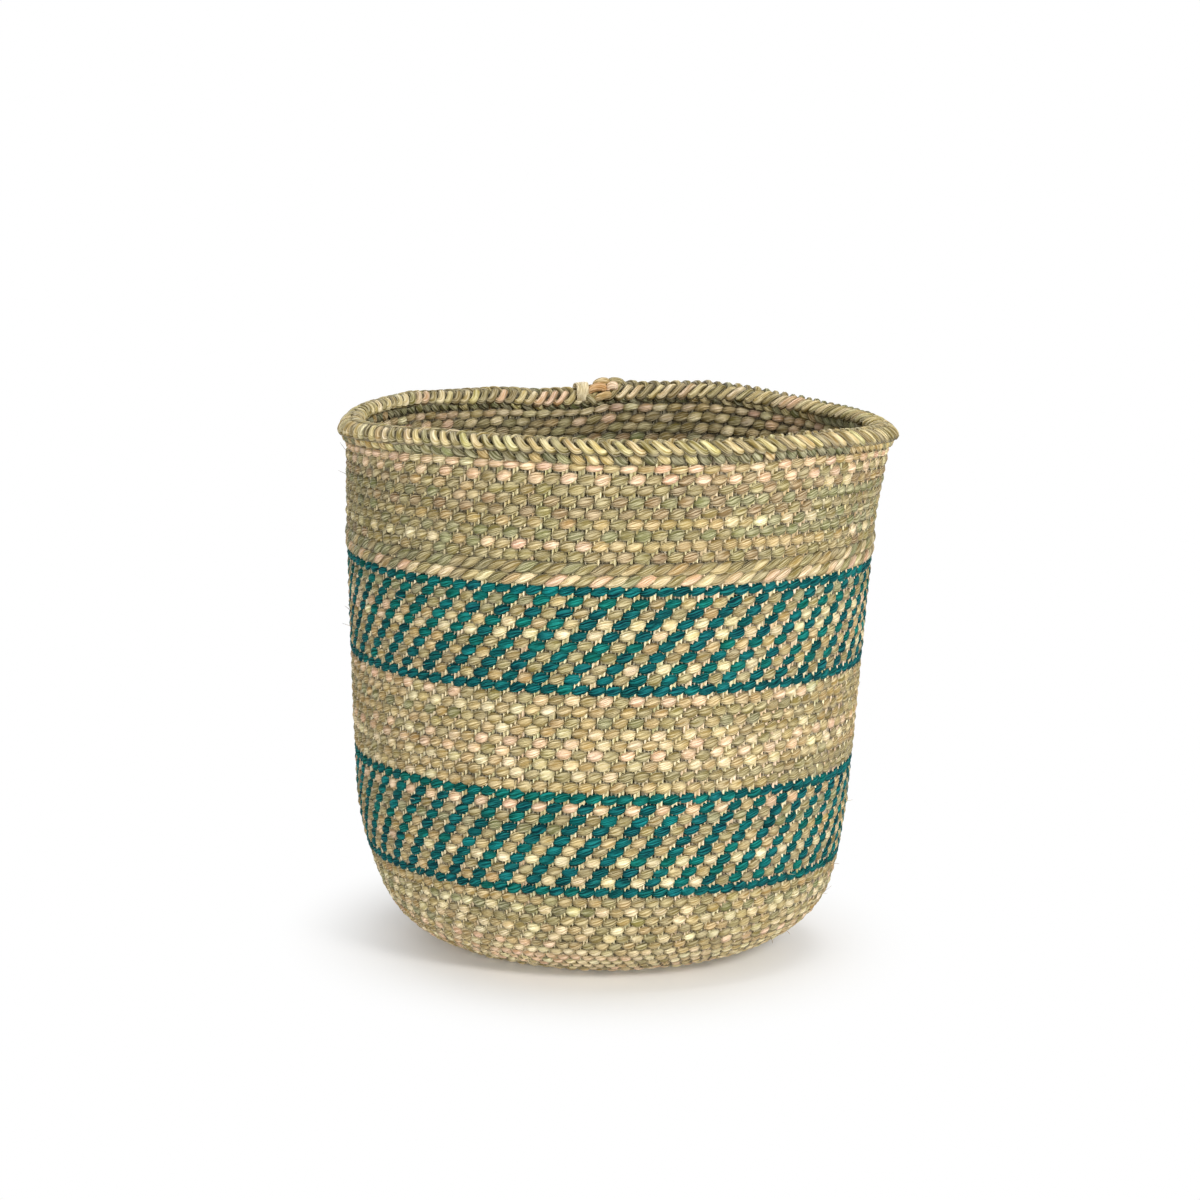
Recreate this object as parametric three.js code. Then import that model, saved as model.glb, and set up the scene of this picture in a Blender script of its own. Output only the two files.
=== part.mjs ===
// Round open basket of twined grass: flat base, rounded heel, tall wall leaning gently outwards.
// Pairs of grass wefts are twined around upright reed stakes, course upon course, from the base
// to the rim. The stakes run in channels through the wefts, and a plaited border closes the rim.
// Millimetres, +Z up. The origin is the middle of the flat underside, and -Y is the front.
// Bearings turn about +Z from the front, towards +X.

import * as THREE from 'three';
import { mergeGeometries } from 'three/addons/utils/BufferGeometryUtils.js';

// Outline of the basket, on the outer side of the weave
const BASE_FLAT_RADIUS = 62.5;
const HEEL_RADIUS = 44;
const HEEL_TURN_DEGREES = 72;
const BELLY_RADIUS = 180;
const WALL_LEAN_DEGREES = 3.4;

// Weave: layers through the wall, the furrows between its courses, and the height of a course
const WEFT_THICKNESS = 2.3;
const STAKE_THICKNESS = 1.2;
const FURROW_DEPTH = 1.0;
const COURSE_PITCH = 4.83;
const WALE_PITCH = 5.15;

// Courses in each zone of the wall, from the base up
const HEEL_COURSES = 7;
const LOWER_NATURAL_COURSES = 7;
const BAND_TWILL_COURSES = 8;
const MIDDLE_NATURAL_COURSES = 9;
const UPPER_NATURAL_COURSES = 9;

// Zones below the footing that are ridged inside as well
const MOUTH_ZONES = 3;

// Base: the round start, where the stakes cross before they spread
const BASE_START_RADIUS = 40;

// Stakes, bundled: between two bundles the wefts cross, this wide beside the base start
const STAKE_BUNDLES = 16;
const CROSSING_WIDTH = 1.0;

// Rim: the footing row that the stakes end in, and the three-strand plait laid over it
const FOOTING_HEIGHT = 5.4;
const FOOTING_PROUD_OUTSIDE = 2.2;
const FOOTING_PROUD_INSIDE = 1.0;
const FOOTING_COVER = 1.4;
const STRAND_WIDTH = 3.8;
const STRAND_THICKNESS = 2.3;
const STRAND_PERIOD = 36;
const PLAIT_OVERHANG = 4.6;

// Rim: the plait's thick end and the flat ribbon that ties it, on the back of the basket
const PLAIT_END_BEARING_DEGREES = 183.2;
const PLAIT_END_LENGTH = 10.7;
const PLAIT_END_RISE = 2.2;
const TIE_OFFSET = 9.2;
const TIE_WIDTH = 6.3;
const TIE_THICKNESS = 0.8;

// Clearance between pieces that touch
const SEAT_GAP = 0.3;

// Fineness of the round shapes
const HEEL_STEPS = 5;
const BELLY_STEPS = 2;
const STRAND_COUNT = 3;
const STRAND_SIDES = 4;
const STEPS_PER_PERIOD = 6;
const PLAIT_END_FACETS = 10;

// The round has two flat facets over each bundle, one over either half of it
const facets = 2 * STAKE_BUNDLES;
const facetAngle = (2 * Math.PI) / facets;
const crossingAngle = CROSSING_WIDTH / BASE_START_RADIUS;
const seatAngle = SEAT_GAP / BASE_START_RADIUS;

const heelTurn = THREE.MathUtils.degToRad(HEEL_TURN_DEGREES);
const wallTurn = THREE.MathUtils.degToRad(90 - WALL_LEAN_DEGREES);
const heelEnd = BASE_FLAT_RADIUS + HEEL_RADIUS * heelTurn;
const bellyEnd = heelEnd + BELLY_RADIUS * (wallTurn - heelTurn);

// Depths into the wall from its outer side
const stakeOuterDepth = WEFT_THICKNESS + SEAT_GAP;
const stakeInnerDepth = stakeOuterDepth + STAKE_THICKNESS;
const weftInnerDepth = stakeInnerDepth + SEAT_GAP;
const wallThickness = weftInnerDepth + WEFT_THICKNESS;

const material = (color, roughness) => new THREE.MeshStandardMaterial({ color, roughness, metalness: 0 });
const naturalGrass = material(0xa89a72, 0.75);
const tealGrass = material(0x006a70, 0.7);
const paleReed = material(0xd6c8a0, 0.65);
const rimGrass = material(0xb4a57a, 0.75);

// Zones of weft from the base start up to the footing: name, courses, height of each, finish
const weftZones = [
  ['heel_weft', HEEL_COURSES, COURSE_PITCH, naturalGrass],
  ['lower_natural_weft', LOWER_NATURAL_COURSES, COURSE_PITCH, naturalGrass],
  ['lower_band_bottom_edge', 1, COURSE_PITCH, tealGrass],
  ['lower_band_twill', BAND_TWILL_COURSES, COURSE_PITCH, tealGrass],
  ['lower_band_top_edge', 1, COURSE_PITCH, tealGrass],
  ['middle_natural_weft', MIDDLE_NATURAL_COURSES, COURSE_PITCH, naturalGrass],
  ['upper_band_bottom_edge', 1, COURSE_PITCH, tealGrass],
  ['upper_band_twill', BAND_TWILL_COURSES, COURSE_PITCH, tealGrass],
  ['upper_band_top_edge', 1, COURSE_PITCH, tealGrass],
  ['lower_wale', 1, WALE_PITCH, naturalGrass],
  ['upper_wale', 1, WALE_PITCH, naturalGrass],
  ['upper_natural_weft', UPPER_NATURAL_COURSES, COURSE_PITCH, naturalGrass],
];

// Where each zone starts along the wall, and last where the footing does
const zoneStarts = [BASE_FLAT_RADIUS];
for (const [, courses, pitch] of weftZones) {
  zoneStarts.push(zoneStarts.at(-1) + courses * pitch);
}
const footingStart = zoneStarts.at(-1);
const footingEnd = footingStart + FOOTING_HEIGHT;

/** Point on a round stretch of the wall's section, `turn` being its slope there. */
function arcPoint(centre, radius, turn) {
  return new THREE.Vector2(centre.x + radius * Math.sin(turn), centre.y - radius * Math.cos(turn));
}

/** Point of the wall's section: `run` along its outer side from the middle of the base, `depth` into it. */
function wallPoint(run, depth) {
  if (run <= BASE_FLAT_RADIUS) {
    return new THREE.Vector2(run, depth);
  }
  const heelCentre = new THREE.Vector2(BASE_FLAT_RADIUS, HEEL_RADIUS);
  if (run <= heelEnd) {
    return arcPoint(heelCentre, HEEL_RADIUS - depth, (run - BASE_FLAT_RADIUS) / HEEL_RADIUS);
  }
  const bellyCentre = arcPoint(heelCentre, HEEL_RADIUS - BELLY_RADIUS, heelTurn);
  const turn = heelTurn + (Math.min(run, bellyEnd) - heelEnd) / BELLY_RADIUS;
  const point = arcPoint(bellyCentre, BELLY_RADIUS - depth, turn);
  const straight = Math.max(run - bellyEnd, 0);
  return point.add(new THREE.Vector2(Math.cos(wallTurn), Math.sin(wallTurn)).multiplyScalar(straight));
}

/** Runs at which a piece of the wall has corners: its two ends, and each bend of the wall between them. */
function levelsBetween(start, end) {
  const bends = zoneStarts.filter((run) => run < bellyEnd);
  for (let step = 0; step <= HEEL_STEPS; step += 1) {
    bends.push(THREE.MathUtils.lerp(BASE_FLAT_RADIUS, heelEnd, step / HEEL_STEPS));
  }
  for (let step = 1; step <= BELLY_STEPS; step += 1) {
    bends.push(THREE.MathUtils.lerp(heelEnd, bellyEnd, step / BELLY_STEPS));
  }
  const levels = [start];
  for (const run of bends.sort((a, b) => a - b)) {
    if (run > levels.at(-1) + SEAT_GAP && run < end - SEAT_GAP) {
      levels.push(run);
    }
  }
  return [...levels, end];
}

// Flat pattern of the wall: a ring whose outer edge has this radius, and depths run inwards from it
const patternRadius = 10 * wallThickness;

/** Share of the radius of a flat facet on a bearing: its corners stand out as far as its middle is in. */
function facetShare(bearing) {
  const fromMiddle = bearing - (Math.floor(bearing / facetAngle) + 0.5) * facetAngle;
  return Math.sqrt(Math.cos(facetAngle / 2)) / Math.cos(fromMiddle);
}

/** Corner of the flat pattern. */
function patternPoint(bearing, depth) {
  const radius = (patternRadius - depth) * facetShare(bearing);
  return new THREE.Vector2(radius * Math.sin(bearing), -radius * Math.cos(bearing));
}

/**
 * Block of the wall between two runs, from its flat outline of bearings and depths.
 * Its faces on the joint bearings and on the skin depths are left out, because other faces close it there.
 */
function wallBlock(outline, start, end, joints, skins = []) {
  const levels = levelsBetween(start, end);
  const steps = levels.length - 1;
  const flatCorners = outline.map(([bearing, depth]) => patternPoint(bearing, depth));
  const shape = new THREE.Shape(flatCorners);
  const flat = new THREE.ExtrudeGeometry(shape, { depth: steps, steps, bevelEnabled: false });
  const corners = [];
  const pattern = flat.attributes.position;
  for (let i = 0; i < pattern.count; i += 1) {
    const here = new THREE.Vector2(pattern.getX(i), pattern.getY(i));
    const away = flatCorners.map((corner) => corner.distanceTo(here));
    const [bearing, depth] = outline[away.indexOf(Math.min(...away))];
    const point = wallPoint(levels[Math.round(pattern.getZ(i))], depth);
    const joint = joints.indexOf(bearing);
    const skin = skins.indexOf(depth);
    const radius = point.x * facetShare(bearing);
    corners.push({ joint, skin, place: [radius * Math.sin(bearing), -radius * Math.cos(bearing), point.y] });
  }
  const places = [];
  for (let i = 0; i < corners.length; i += 3) {
    const [a, b, c] = corners.slice(i, i + 3);
    const onJoint = a.joint >= 0 && a.joint === b.joint && b.joint === c.joint;
    const onSkin = a.skin >= 0 && a.skin === b.skin && b.skin === c.skin;
    if (!onJoint && !onSkin) {
      places.push(...a.place, ...b.place, ...c.place);
    }
  }
  const block = new THREE.BufferGeometry();
  block.setAttribute('position', new THREE.Float32BufferAttribute(places, 3));
  block.computeVertexNormals();
  return block;
}

/** The two halves of a bundle: the bearing of the crossing beside each, and the way to the middle. */
function bundleHalves(bundle) {
  return [
    { crossing: 2 * bundle * facetAngle, inwards: 1 },
    { crossing: ((2 * bundle + 2) % facets) * facetAngle, inwards: -1 },
  ];
}

/** Skin of a ring, whose courses stand out between furrows; `deeper` is 1 outside and -1 inside. */
function ridgedSkin(start, end, courses, crestDepth, deeper) {
  const profile = [];
  for (let half = 0; half <= 2 * courses; half += 1) {
    const run = THREE.MathUtils.lerp(start, end, half / (2 * courses));
    const sunk = half % 2 === 0 ? deeper * FURROW_DEPTH : 0;
    const point = wallPoint(run, crestDepth + sunk);
    profile.push(point.setX(point.x * facetShare(0)));
  }
  if (deeper < 0) {
    profile.reverse();
  }
  const skin = new THREE.LatheGeometry(profile, facets).rotateX(Math.PI / 2).toNonIndexed();
  skin.deleteAttribute('uv');
  skin.computeVertexNormals();
  return skin;
}

/** Ring of weft around the stakes, with a channel through it for each bundle, from one depth to another. */
function weftRing(start, end, outerDepth, innerDepth, skins = []) {
  const blocks = [];
  for (let bundle = 0; bundle < STAKE_BUNDLES; bundle += 1) {
    const middle = (2 * bundle + 1) * facetAngle;
    for (const { crossing, inwards } of bundleHalves(bundle)) {
      const channel = crossing + inwards * (crossingAngle / 2);
      blocks.push(wallBlock([
        [crossing, outerDepth],
        [middle, outerDepth],
        [middle, WEFT_THICKNESS],
        [channel, WEFT_THICKNESS],
        [channel, weftInnerDepth],
        [middle, weftInnerDepth],
        [middle, innerDepth],
        [crossing, innerDepth],
      ], start, end, [crossing, middle], skins));
    }
  }
  return mergeGeometries(blocks);
}

/** One bundle of stakes, lying in its channel. */
function stakeBundle(bundle, start, end) {
  const middle = (2 * bundle + 1) * facetAngle;
  return mergeGeometries(bundleHalves(bundle).map(({ crossing, inwards }) => {
    const side = crossing + inwards * (crossingAngle / 2 + seatAngle);
    return wallBlock([
      [side, stakeOuterDepth],
      [middle, stakeOuterDepth],
      [middle, stakeInnerDepth],
      [side, stakeInnerDepth],
    ], start, end, [middle]);
  }));
}

/** Centre line of one strand of the rim plait, from one side of its thick end round to the other. */
class StrandPath extends THREE.Curve {
  constructor(phase, plait) {
    super();
    this.phase = phase;
    this.plait = plait;
  }

  bearing(t) {
    return THREE.MathUtils.lerp(this.plait.startBearing, this.plait.endBearing, t);
  }

  getPoint(t, target = new THREE.Vector3()) {
    const bearing = this.bearing(t);
    const swing = this.phase + 2 * Math.PI * this.plait.periods * t;
    const radius = this.plait.radius + this.plait.sway * Math.sin(swing);
    const height = this.plait.middle + this.plait.lift * Math.sin(2 * swing);
    return target.set(radius * Math.sin(bearing), -radius * Math.cos(bearing), height);
  }

  /** Steps are even in bearing, so that the strands cross where they have corners. */
  getUtoTmapping(u) {
    return u;
  }

  /** Frames that keep the strand's flat side level. */
  computeFrenetFrames(segments) {
    const frames = { tangents: [], normals: [], binormals: [] };
    for (let step = 0; step <= segments; step += 1) {
      const bearing = this.bearing(step / segments);
      const tangent = this.getTangent(step / segments);
      const outward = new THREE.Vector3(Math.sin(bearing), -Math.cos(bearing), 0);
      const binormal = tangent.clone().cross(outward).normalize();
      frames.tangents.push(tangent);
      frames.normals.push(binormal.clone().cross(tangent).normalize());
      frames.binormals.push(binormal);
    }
    return frames;
  }
}

/** Oval cross-section of a plait strand. */
function strandSection() {
  const corners = [];
  for (let side = 0; side < STRAND_SIDES; side += 1) {
    const angle = (2 * Math.PI * side) / STRAND_SIDES;
    corners.push(new THREE.Vector2(
      (STRAND_WIDTH / 2) * Math.cos(angle),
      (STRAND_THICKNESS / 2) * Math.sin(angle),
    ));
  }
  return new THREE.Shape(corners);
}

const basket = new THREE.Group();

/** Adds one named piece to the basket. */
function addPiece(name, geometry, finish) {
  const piece = new THREE.Mesh(geometry, finish);
  piece.name = name;
  basket.add(piece);
}

/** Disc of the base start between two depths. */
function startDisc(outerDepth, innerDepth) {
  const edge = BASE_START_RADIUS - SEAT_GAP / 2;
  const outline = [[0, outerDepth], [edge, outerDepth], [edge, innerDepth], [0, innerDepth]];
  const points = outline.map(([radius, height]) => new THREE.Vector2(radius, height));
  return new THREE.LatheGeometry(points, facets).rotateX(Math.PI / 2);
}

// Base start: crossed stakes between the weft of the underside and that of the inside
addPiece('base_start_underside', startDisc(0, WEFT_THICKNESS), naturalGrass);
addPiece('base_start_stakes', startDisc(stakeOuterDepth, stakeInnerDepth), paleReed);
addPiece('base_start_inside', startDisc(weftInnerDepth, wallThickness), naturalGrass);

// Weft of the base, flat to stand on
const baseWeftStart = BASE_START_RADIUS + SEAT_GAP / 2;
const baseWeftEnd = BASE_FLAT_RADIUS - SEAT_GAP / 2;
addPiece('base_weft', weftRing(baseWeftStart, baseWeftEnd, 0, wallThickness), naturalGrass);

// Wefts of the wall, from the heel to the last course under the rim: their courses stand out in ridges
// on the outer side, and near the mouth on the inner side too
const furrowOutside = FURROW_DEPTH;
const furrowInside = wallThickness - FURROW_DEPTH;
weftZones.forEach(([name, courses, , finish], zone) => {
  const start = zoneStarts[zone] + SEAT_GAP / 2;
  const end = zoneStarts[zone + 1] - SEAT_GAP / 2;
  const nearMouth = zone >= weftZones.length - MOUTH_ZONES;
  const innerDepth = nearMouth ? furrowInside : wallThickness;
  const parts = [ridgedSkin(start, end, courses, 0, 1)];
  if (nearMouth) {
    parts.push(ridgedSkin(start, end, courses, wallThickness, -1));
  }
  const skins = nearMouth ? [furrowOutside, furrowInside] : [furrowOutside];
  parts.push(weftRing(start, end, furrowOutside, innerDepth, skins));
  addPiece(name, mergeGeometries(parts), finish);
});

// Stake bundles, from the base start to inside the footing
for (let bundle = 0; bundle < STAKE_BUNDLES; bundle += 1) {
  const stakes = stakeBundle(bundle, BASE_START_RADIUS + SEAT_GAP, footingEnd - FOOTING_COVER);
  addPiece(`stake_bundle_${String(bundle + 1).padStart(2, '0')}`, stakes, paleReed);
}

// Rim footing: the stubby row that binds the stakes' ends
const footingFoot = footingStart + SEAT_GAP / 2;
const footingInside = wallThickness + FOOTING_PROUD_INSIDE;
const footing = weftRing(footingFoot, footingEnd, -FOOTING_PROUD_OUTSIDE, footingInside);
addPiece('rim_footing', footing, rimGrass);

// Rim plait: the strands swing aside and rise just enough to pass over and under each other
const swayShare = 1.25;
const liftShare = 1.4;
const strandSway = swayShare * STRAND_WIDTH;
const strandLift = (liftShare * STRAND_THICKNESS + SEAT_GAP) / Math.sqrt(3);
const plaitHalfWidth = strandSway + STRAND_WIDTH / 2;
const plaitHalfHeight = strandLift + STRAND_THICKNESS / 2;
const plaitRadius = wallPoint(footingEnd, 0).x + PLAIT_OVERHANG - plaitHalfWidth;
const plaitFoot = wallPoint(footingEnd, footingInside).y + SEAT_GAP;
const endBearing = THREE.MathUtils.degToRad(PLAIT_END_BEARING_DEGREES);
const endHalfAngle = (PLAIT_END_LENGTH / 2 + SEAT_GAP) / plaitRadius;
const plait = {
  radius: plaitRadius,
  middle: plaitFoot + plaitHalfHeight,
  sway: strandSway,
  lift: strandLift,
  startBearing: endBearing + endHalfAngle,
  endBearing: endBearing - endHalfAngle + 2 * Math.PI,
  periods: Math.round((2 * Math.PI * plaitRadius) / STRAND_PERIOD),
};
for (let strand = 0; strand < STRAND_COUNT; strand += 1) {
  const phase = Math.PI / 6 + (2 * Math.PI * strand) / STRAND_COUNT;
  const geometry = new THREE.ExtrudeGeometry(strandSection(), {
    steps: plait.periods * STEPS_PER_PERIOD,
    extrudePath: new StrandPath(phase, plait),
  });
  addPiece(`rim_plait_strand_${strand + 1}`, geometry, rimGrass);
}

// Plait's thick end: a rounded lump between the two ends of the strands
const endHalfHeight = plaitHalfHeight + PLAIT_END_RISE / 2;
const plaitEnd = new THREE.SphereGeometry(1, PLAIT_END_FACETS, PLAIT_END_FACETS / 2)
  .rotateX(Math.PI / 2)
  .scale(plaitHalfWidth, PLAIT_END_LENGTH / 2, endHalfHeight)
  .translate(plaitRadius, 0, plaitFoot + endHalfHeight)
  .rotateZ(endBearing - Math.PI / 2);
addPiece('rim_plait_end', plaitEnd, rimGrass);

// Tie: a flat ribbon bent over the plait beside its thick end
const tieInside = plaitHalfWidth + SEAT_GAP;
const tieOutside = tieInside + TIE_THICKNESS;
const tieUnder = plaitFoot + 2 * plaitHalfHeight + SEAT_GAP;
const ribbon = new THREE.Shape([
  [-tieOutside, plaitFoot],
  [-tieInside, plaitFoot],
  [-tieInside, tieUnder],
  [tieInside, tieUnder],
  [tieInside, plaitFoot],
  [tieOutside, plaitFoot],
  [tieOutside, tieUnder + TIE_THICKNESS],
  [-tieOutside, tieUnder + TIE_THICKNESS],
].map(([x, y]) => new THREE.Vector2(x, y)));
const tie = new THREE.ExtrudeGeometry(ribbon, { depth: TIE_WIDTH, bevelEnabled: false })
  .translate(plaitRadius, 0, -TIE_WIDTH / 2)
  .rotateX(Math.PI / 2)
  .rotateZ(endBearing + TIE_OFFSET / plaitRadius - Math.PI / 2);
addPiece('rim_tie', tie, paleReed);

export default basket;
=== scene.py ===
"""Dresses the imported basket: a round grass basket, twined in twill over reed stakes, with a plaited rim.

The CAD frame gives the rings of the wall, the stakes and the rim. This script weaves the real strands in
their place. Every course is a pair of strands that twine around the stakes, two stakes to a stitch, and each
course steps on by one stake, which draws the diagonal lines of the two teal bands.
"""

from __future__ import annotations

import logging
import math
import zlib
from dataclasses import dataclass, field, replace
from enum import Enum
from typing import Any, Sequence

import bpy
import numpy as np
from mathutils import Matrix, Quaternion, Vector

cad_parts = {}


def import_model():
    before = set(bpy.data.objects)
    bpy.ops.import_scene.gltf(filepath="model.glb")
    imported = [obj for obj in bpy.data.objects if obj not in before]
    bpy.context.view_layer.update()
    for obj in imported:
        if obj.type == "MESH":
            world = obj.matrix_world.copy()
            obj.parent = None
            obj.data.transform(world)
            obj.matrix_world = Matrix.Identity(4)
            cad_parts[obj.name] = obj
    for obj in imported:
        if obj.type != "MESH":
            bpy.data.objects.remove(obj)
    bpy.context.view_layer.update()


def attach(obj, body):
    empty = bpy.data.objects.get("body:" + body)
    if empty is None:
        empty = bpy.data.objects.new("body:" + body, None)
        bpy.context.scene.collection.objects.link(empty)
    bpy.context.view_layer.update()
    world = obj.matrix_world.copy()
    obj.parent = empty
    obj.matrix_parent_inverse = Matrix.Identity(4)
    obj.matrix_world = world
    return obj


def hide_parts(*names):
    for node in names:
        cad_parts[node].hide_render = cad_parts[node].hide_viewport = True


LOG = logging.getLogger("basket")
METRES = 0.001
FULL_TURN = 2.0 * math.pi
PHOTO_PIXELS = 1200.0
WHITE = (1.0, 1.0, 1.0, 1.0)
LIGHTEST = 0.95
BAKE_MARGIN = 0.02

Array = np.ndarray


class Dye(Enum):
    """Tones of the grass and reed, as sRGB bytes."""

    OLIVE = (152, 138, 86)
    GREY_GREEN = (133, 134, 88)
    TAN = (186, 162, 108)
    CREAM = (236, 219, 180)
    PINK = (238, 202, 172)
    BROWN = (152, 126, 86)
    TEAL_DEEP = (0, 66, 76)
    TEAL = (0, 82, 87)
    TEAL_GREEN = (0, 99, 88)
    TEAL_BRIGHT = (0, 106, 106)
    REED = (232, 218, 182)
    REED_PINK = (232, 206, 178)
    REED_GREEN = (204, 198, 154)
    STRAW = (208, 192, 138)
    MOSS = (108, 110, 72)
    AMBER = (200, 166, 108)

    @property
    def linear(self) -> Array:
        """The tone as linear red, green and blue, by the sRGB curve."""
        share = np.array(self.value, float) / 255.0
        return np.where(share <= 0.04045, share / 12.92, ((share + 0.055) / 1.055) ** 2.4)


class Slot(Enum):
    """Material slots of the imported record."""

    NATURAL = "natural_grass"
    TEAL = "teal_grass"
    REED = "pale_reed"
    RIM = "rim_grass"


@dataclass(frozen=True)
class Palette:
    """Tones that follow each other along a strand in runs, as lengths of grass are twined in."""

    tones: tuple[tuple[Dye, float], ...]
    run: float = 8.0
    unevenness: float = 0.09
    fall_off: tuple[float, float, float] = (1.0, 1.04, 1.6)
    tinge: float = 0.35

    def draw(self, rng: np.random.Generator, stitches: int) -> Array:
        """Draws one colour for each stitch.

        Args:
            rng: The seeded source of chance.
            stitches: How many stitches the strand has.

        Returns:
            Linear colours, one row for each stitch.
        """
        weights = np.array([weight for _, weight in self.tones], float)
        weights /= weights.sum()
        colours = np.zeros((stitches, 3))
        start = 0
        while start < stitches:
            length = 1 + int(rng.exponential(self.run))
            tone = self.tones[rng.choice(len(self.tones), p=weights)][0]
            colours[start : start + length] = tone.linear
            start += length
        light = 1.0 + self.unevenness * rng.standard_normal((stitches, 1))
        warmth = 1.0 + self.tinge * self.unevenness * rng.standard_normal((stitches, 3))
        return np.clip(colours * light * warmth, 0.0, LIGHTEST)

    def shadow(self, light: Array) -> Array:
        """Turns shares of light into colours: shade between dry leaves is brown, as it loses blue first."""
        return np.power(light[:, None], self.fall_off)


PALE = Palette(((Dye.CREAM, 0.55), (Dye.PINK, 0.2), (Dye.TAN, 0.25)))
ROSY = Palette(((Dye.PINK, 0.5), (Dye.TAN, 0.3), (Dye.CREAM, 0.2)))
DUSKY = Palette(((Dye.OLIVE, 0.55), (Dye.GREY_GREEN, 0.35), (Dye.TAN, 0.1)))
EARTHY = Palette(((Dye.TAN, 0.5), (Dye.OLIVE, 0.4), (Dye.CREAM, 0.1)))
SANDY = Palette(((Dye.TAN, 0.62), (Dye.CREAM, 0.22), (Dye.OLIVE, 0.16)))
TEALS = Palette(
    ((Dye.TEAL_DEEP, 0.34), (Dye.TEAL, 0.36), (Dye.TEAL_GREEN, 0.2), (Dye.TEAL_BRIGHT, 0.1)),
    5.0,
    0.13,
    (1.3, 1.2, 1.2),
)
REEDS = Palette(((Dye.REED, 0.6), (Dye.REED_PINK, 0.2), (Dye.REED_GREEN, 0.2)), 1.5, 0.07)
RIMS = Palette(((Dye.STRAW, 0.44), (Dye.CREAM, 0.08), (Dye.OLIVE, 0.48)), 2.0, 0.1)
PALE_RIMS = Palette(((Dye.CREAM, 0.25), (Dye.PINK, 0.15), (Dye.STRAW, 0.4), (Dye.OLIVE, 0.2)), 2.0, 0.1)
# Darker green loops for the back's outer side: partly the grass's own tones, partly painted shade.
SHADED_GREEN_RIMS = Palette(((Dye.OLIVE, 0.5), (Dye.GREY_GREEN, 0.25), (Dye.STRAW, 0.25)), 3.0, 0.08)
MOSSES = Palette(((Dye.MOSS, 0.55), (Dye.GREY_GREEN, 0.22), (Dye.TAN, 0.15), (Dye.STRAW, 0.08)), 2.0, 0.1)
MUTED = Palette(((Dye.OLIVE, 0.45), (Dye.BROWN, 0.3), (Dye.GREY_GREEN, 0.25)))
WHISKERS = Palette(((Dye.CREAM, 0.2), (Dye.TAN, 0.3), (Dye.BROWN, 0.5)), 1.0, 0.12)


class Link:
    """A socket in a shader graph, so that shader maths reads as Python."""

    def __init__(self, graph: Graph, socket: bpy.types.NodeSocket) -> None:
        """Keeps the graph and the socket."""
        self.graph = graph
        self.socket = socket

    def _math(self, operation: str, first: Any, second: Any) -> Link:
        """Adds one Math node for two values."""
        return self.graph.node("ShaderNodeMath", {"operation": operation}, {0: first, 1: second})

    def __add__(self, other: Any) -> Link:
        """Adds."""
        return self._math("ADD", self, other)

    def __radd__(self, other: Any) -> Link:
        """Adds, with this value second."""
        return self._math("ADD", other, self)

    def __sub__(self, other: Any) -> Link:
        """Subtracts."""
        return self._math("SUBTRACT", self, other)

    def __rsub__(self, other: Any) -> Link:
        """Subtracts this value from another."""
        return self._math("SUBTRACT", other, self)

    def __mul__(self, other: Any) -> Link:
        """Multiplies."""
        return self._math("MULTIPLY", self, other)

    def __rmul__(self, other: Any) -> Link:
        """Multiplies, with this value second."""
        return self._math("MULTIPLY", other, self)


class Graph:
    """A node tree under construction."""

    def __init__(self, tree: bpy.types.NodeTree) -> None:
        """Starts from an empty tree."""
        self.tree = tree
        tree.nodes.clear()

    def node(
        self,
        kind: str,
        settings: dict[str, Any] | None = None,
        sockets: dict[str | int, Any] | None = None,
        output: str | int = 0,
    ) -> Link:
        """Adds a node.

        Args:
            kind: The node's type.
            settings: The node's own properties, set before its sockets.
            sockets: Values or links of its inputs, by name or number.
            output: The output that is handed back.

        Returns:
            That output, or the first input of a node with no output.
        """
        node = self.tree.nodes.new(kind)
        for name, value in (settings or {}).items():
            setattr(node, name, value)
        for name, value in (sockets or {}).items():
            if isinstance(value, Link):
                self.tree.links.new(value.socket, node.inputs[name])
            else:
                node.inputs[name].default_value = value
        ends = node.outputs if len(node.outputs) else node.inputs
        return Link(self, ends[output])

    def scale(self, vector: Link, factors: tuple[float, float, float]) -> Link:
        """Stretches a vector by three factors."""
        return self.node("ShaderNodeVectorMath", {"operation": "MULTIPLY"}, {0: vector, 1: factors})

    def blend(self, mode: str, factor: Any, first: Any, second: Any) -> Link:
        """Mixes two colours.

        Args:
            mode: How they mix, such as MIX or MULTIPLY.
            factor: The share of the second.
            first: The first colour.
            second: The second colour.

        Returns:
            The mixed colour.
        """
        settings = {"data_type": "RGBA", "blend_type": mode}
        return self.node("ShaderNodeMix", settings, {0: factor, 6: first, 7: second}, output=2)

    def noise(self, vector: Link, scale: float, detail: float) -> Link:
        """Adds noise of a given scale and detail on a vector."""
        return self.node("ShaderNodeTexNoise", None, {"Vector": vector, "Scale": scale, "Detail": detail})


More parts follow.
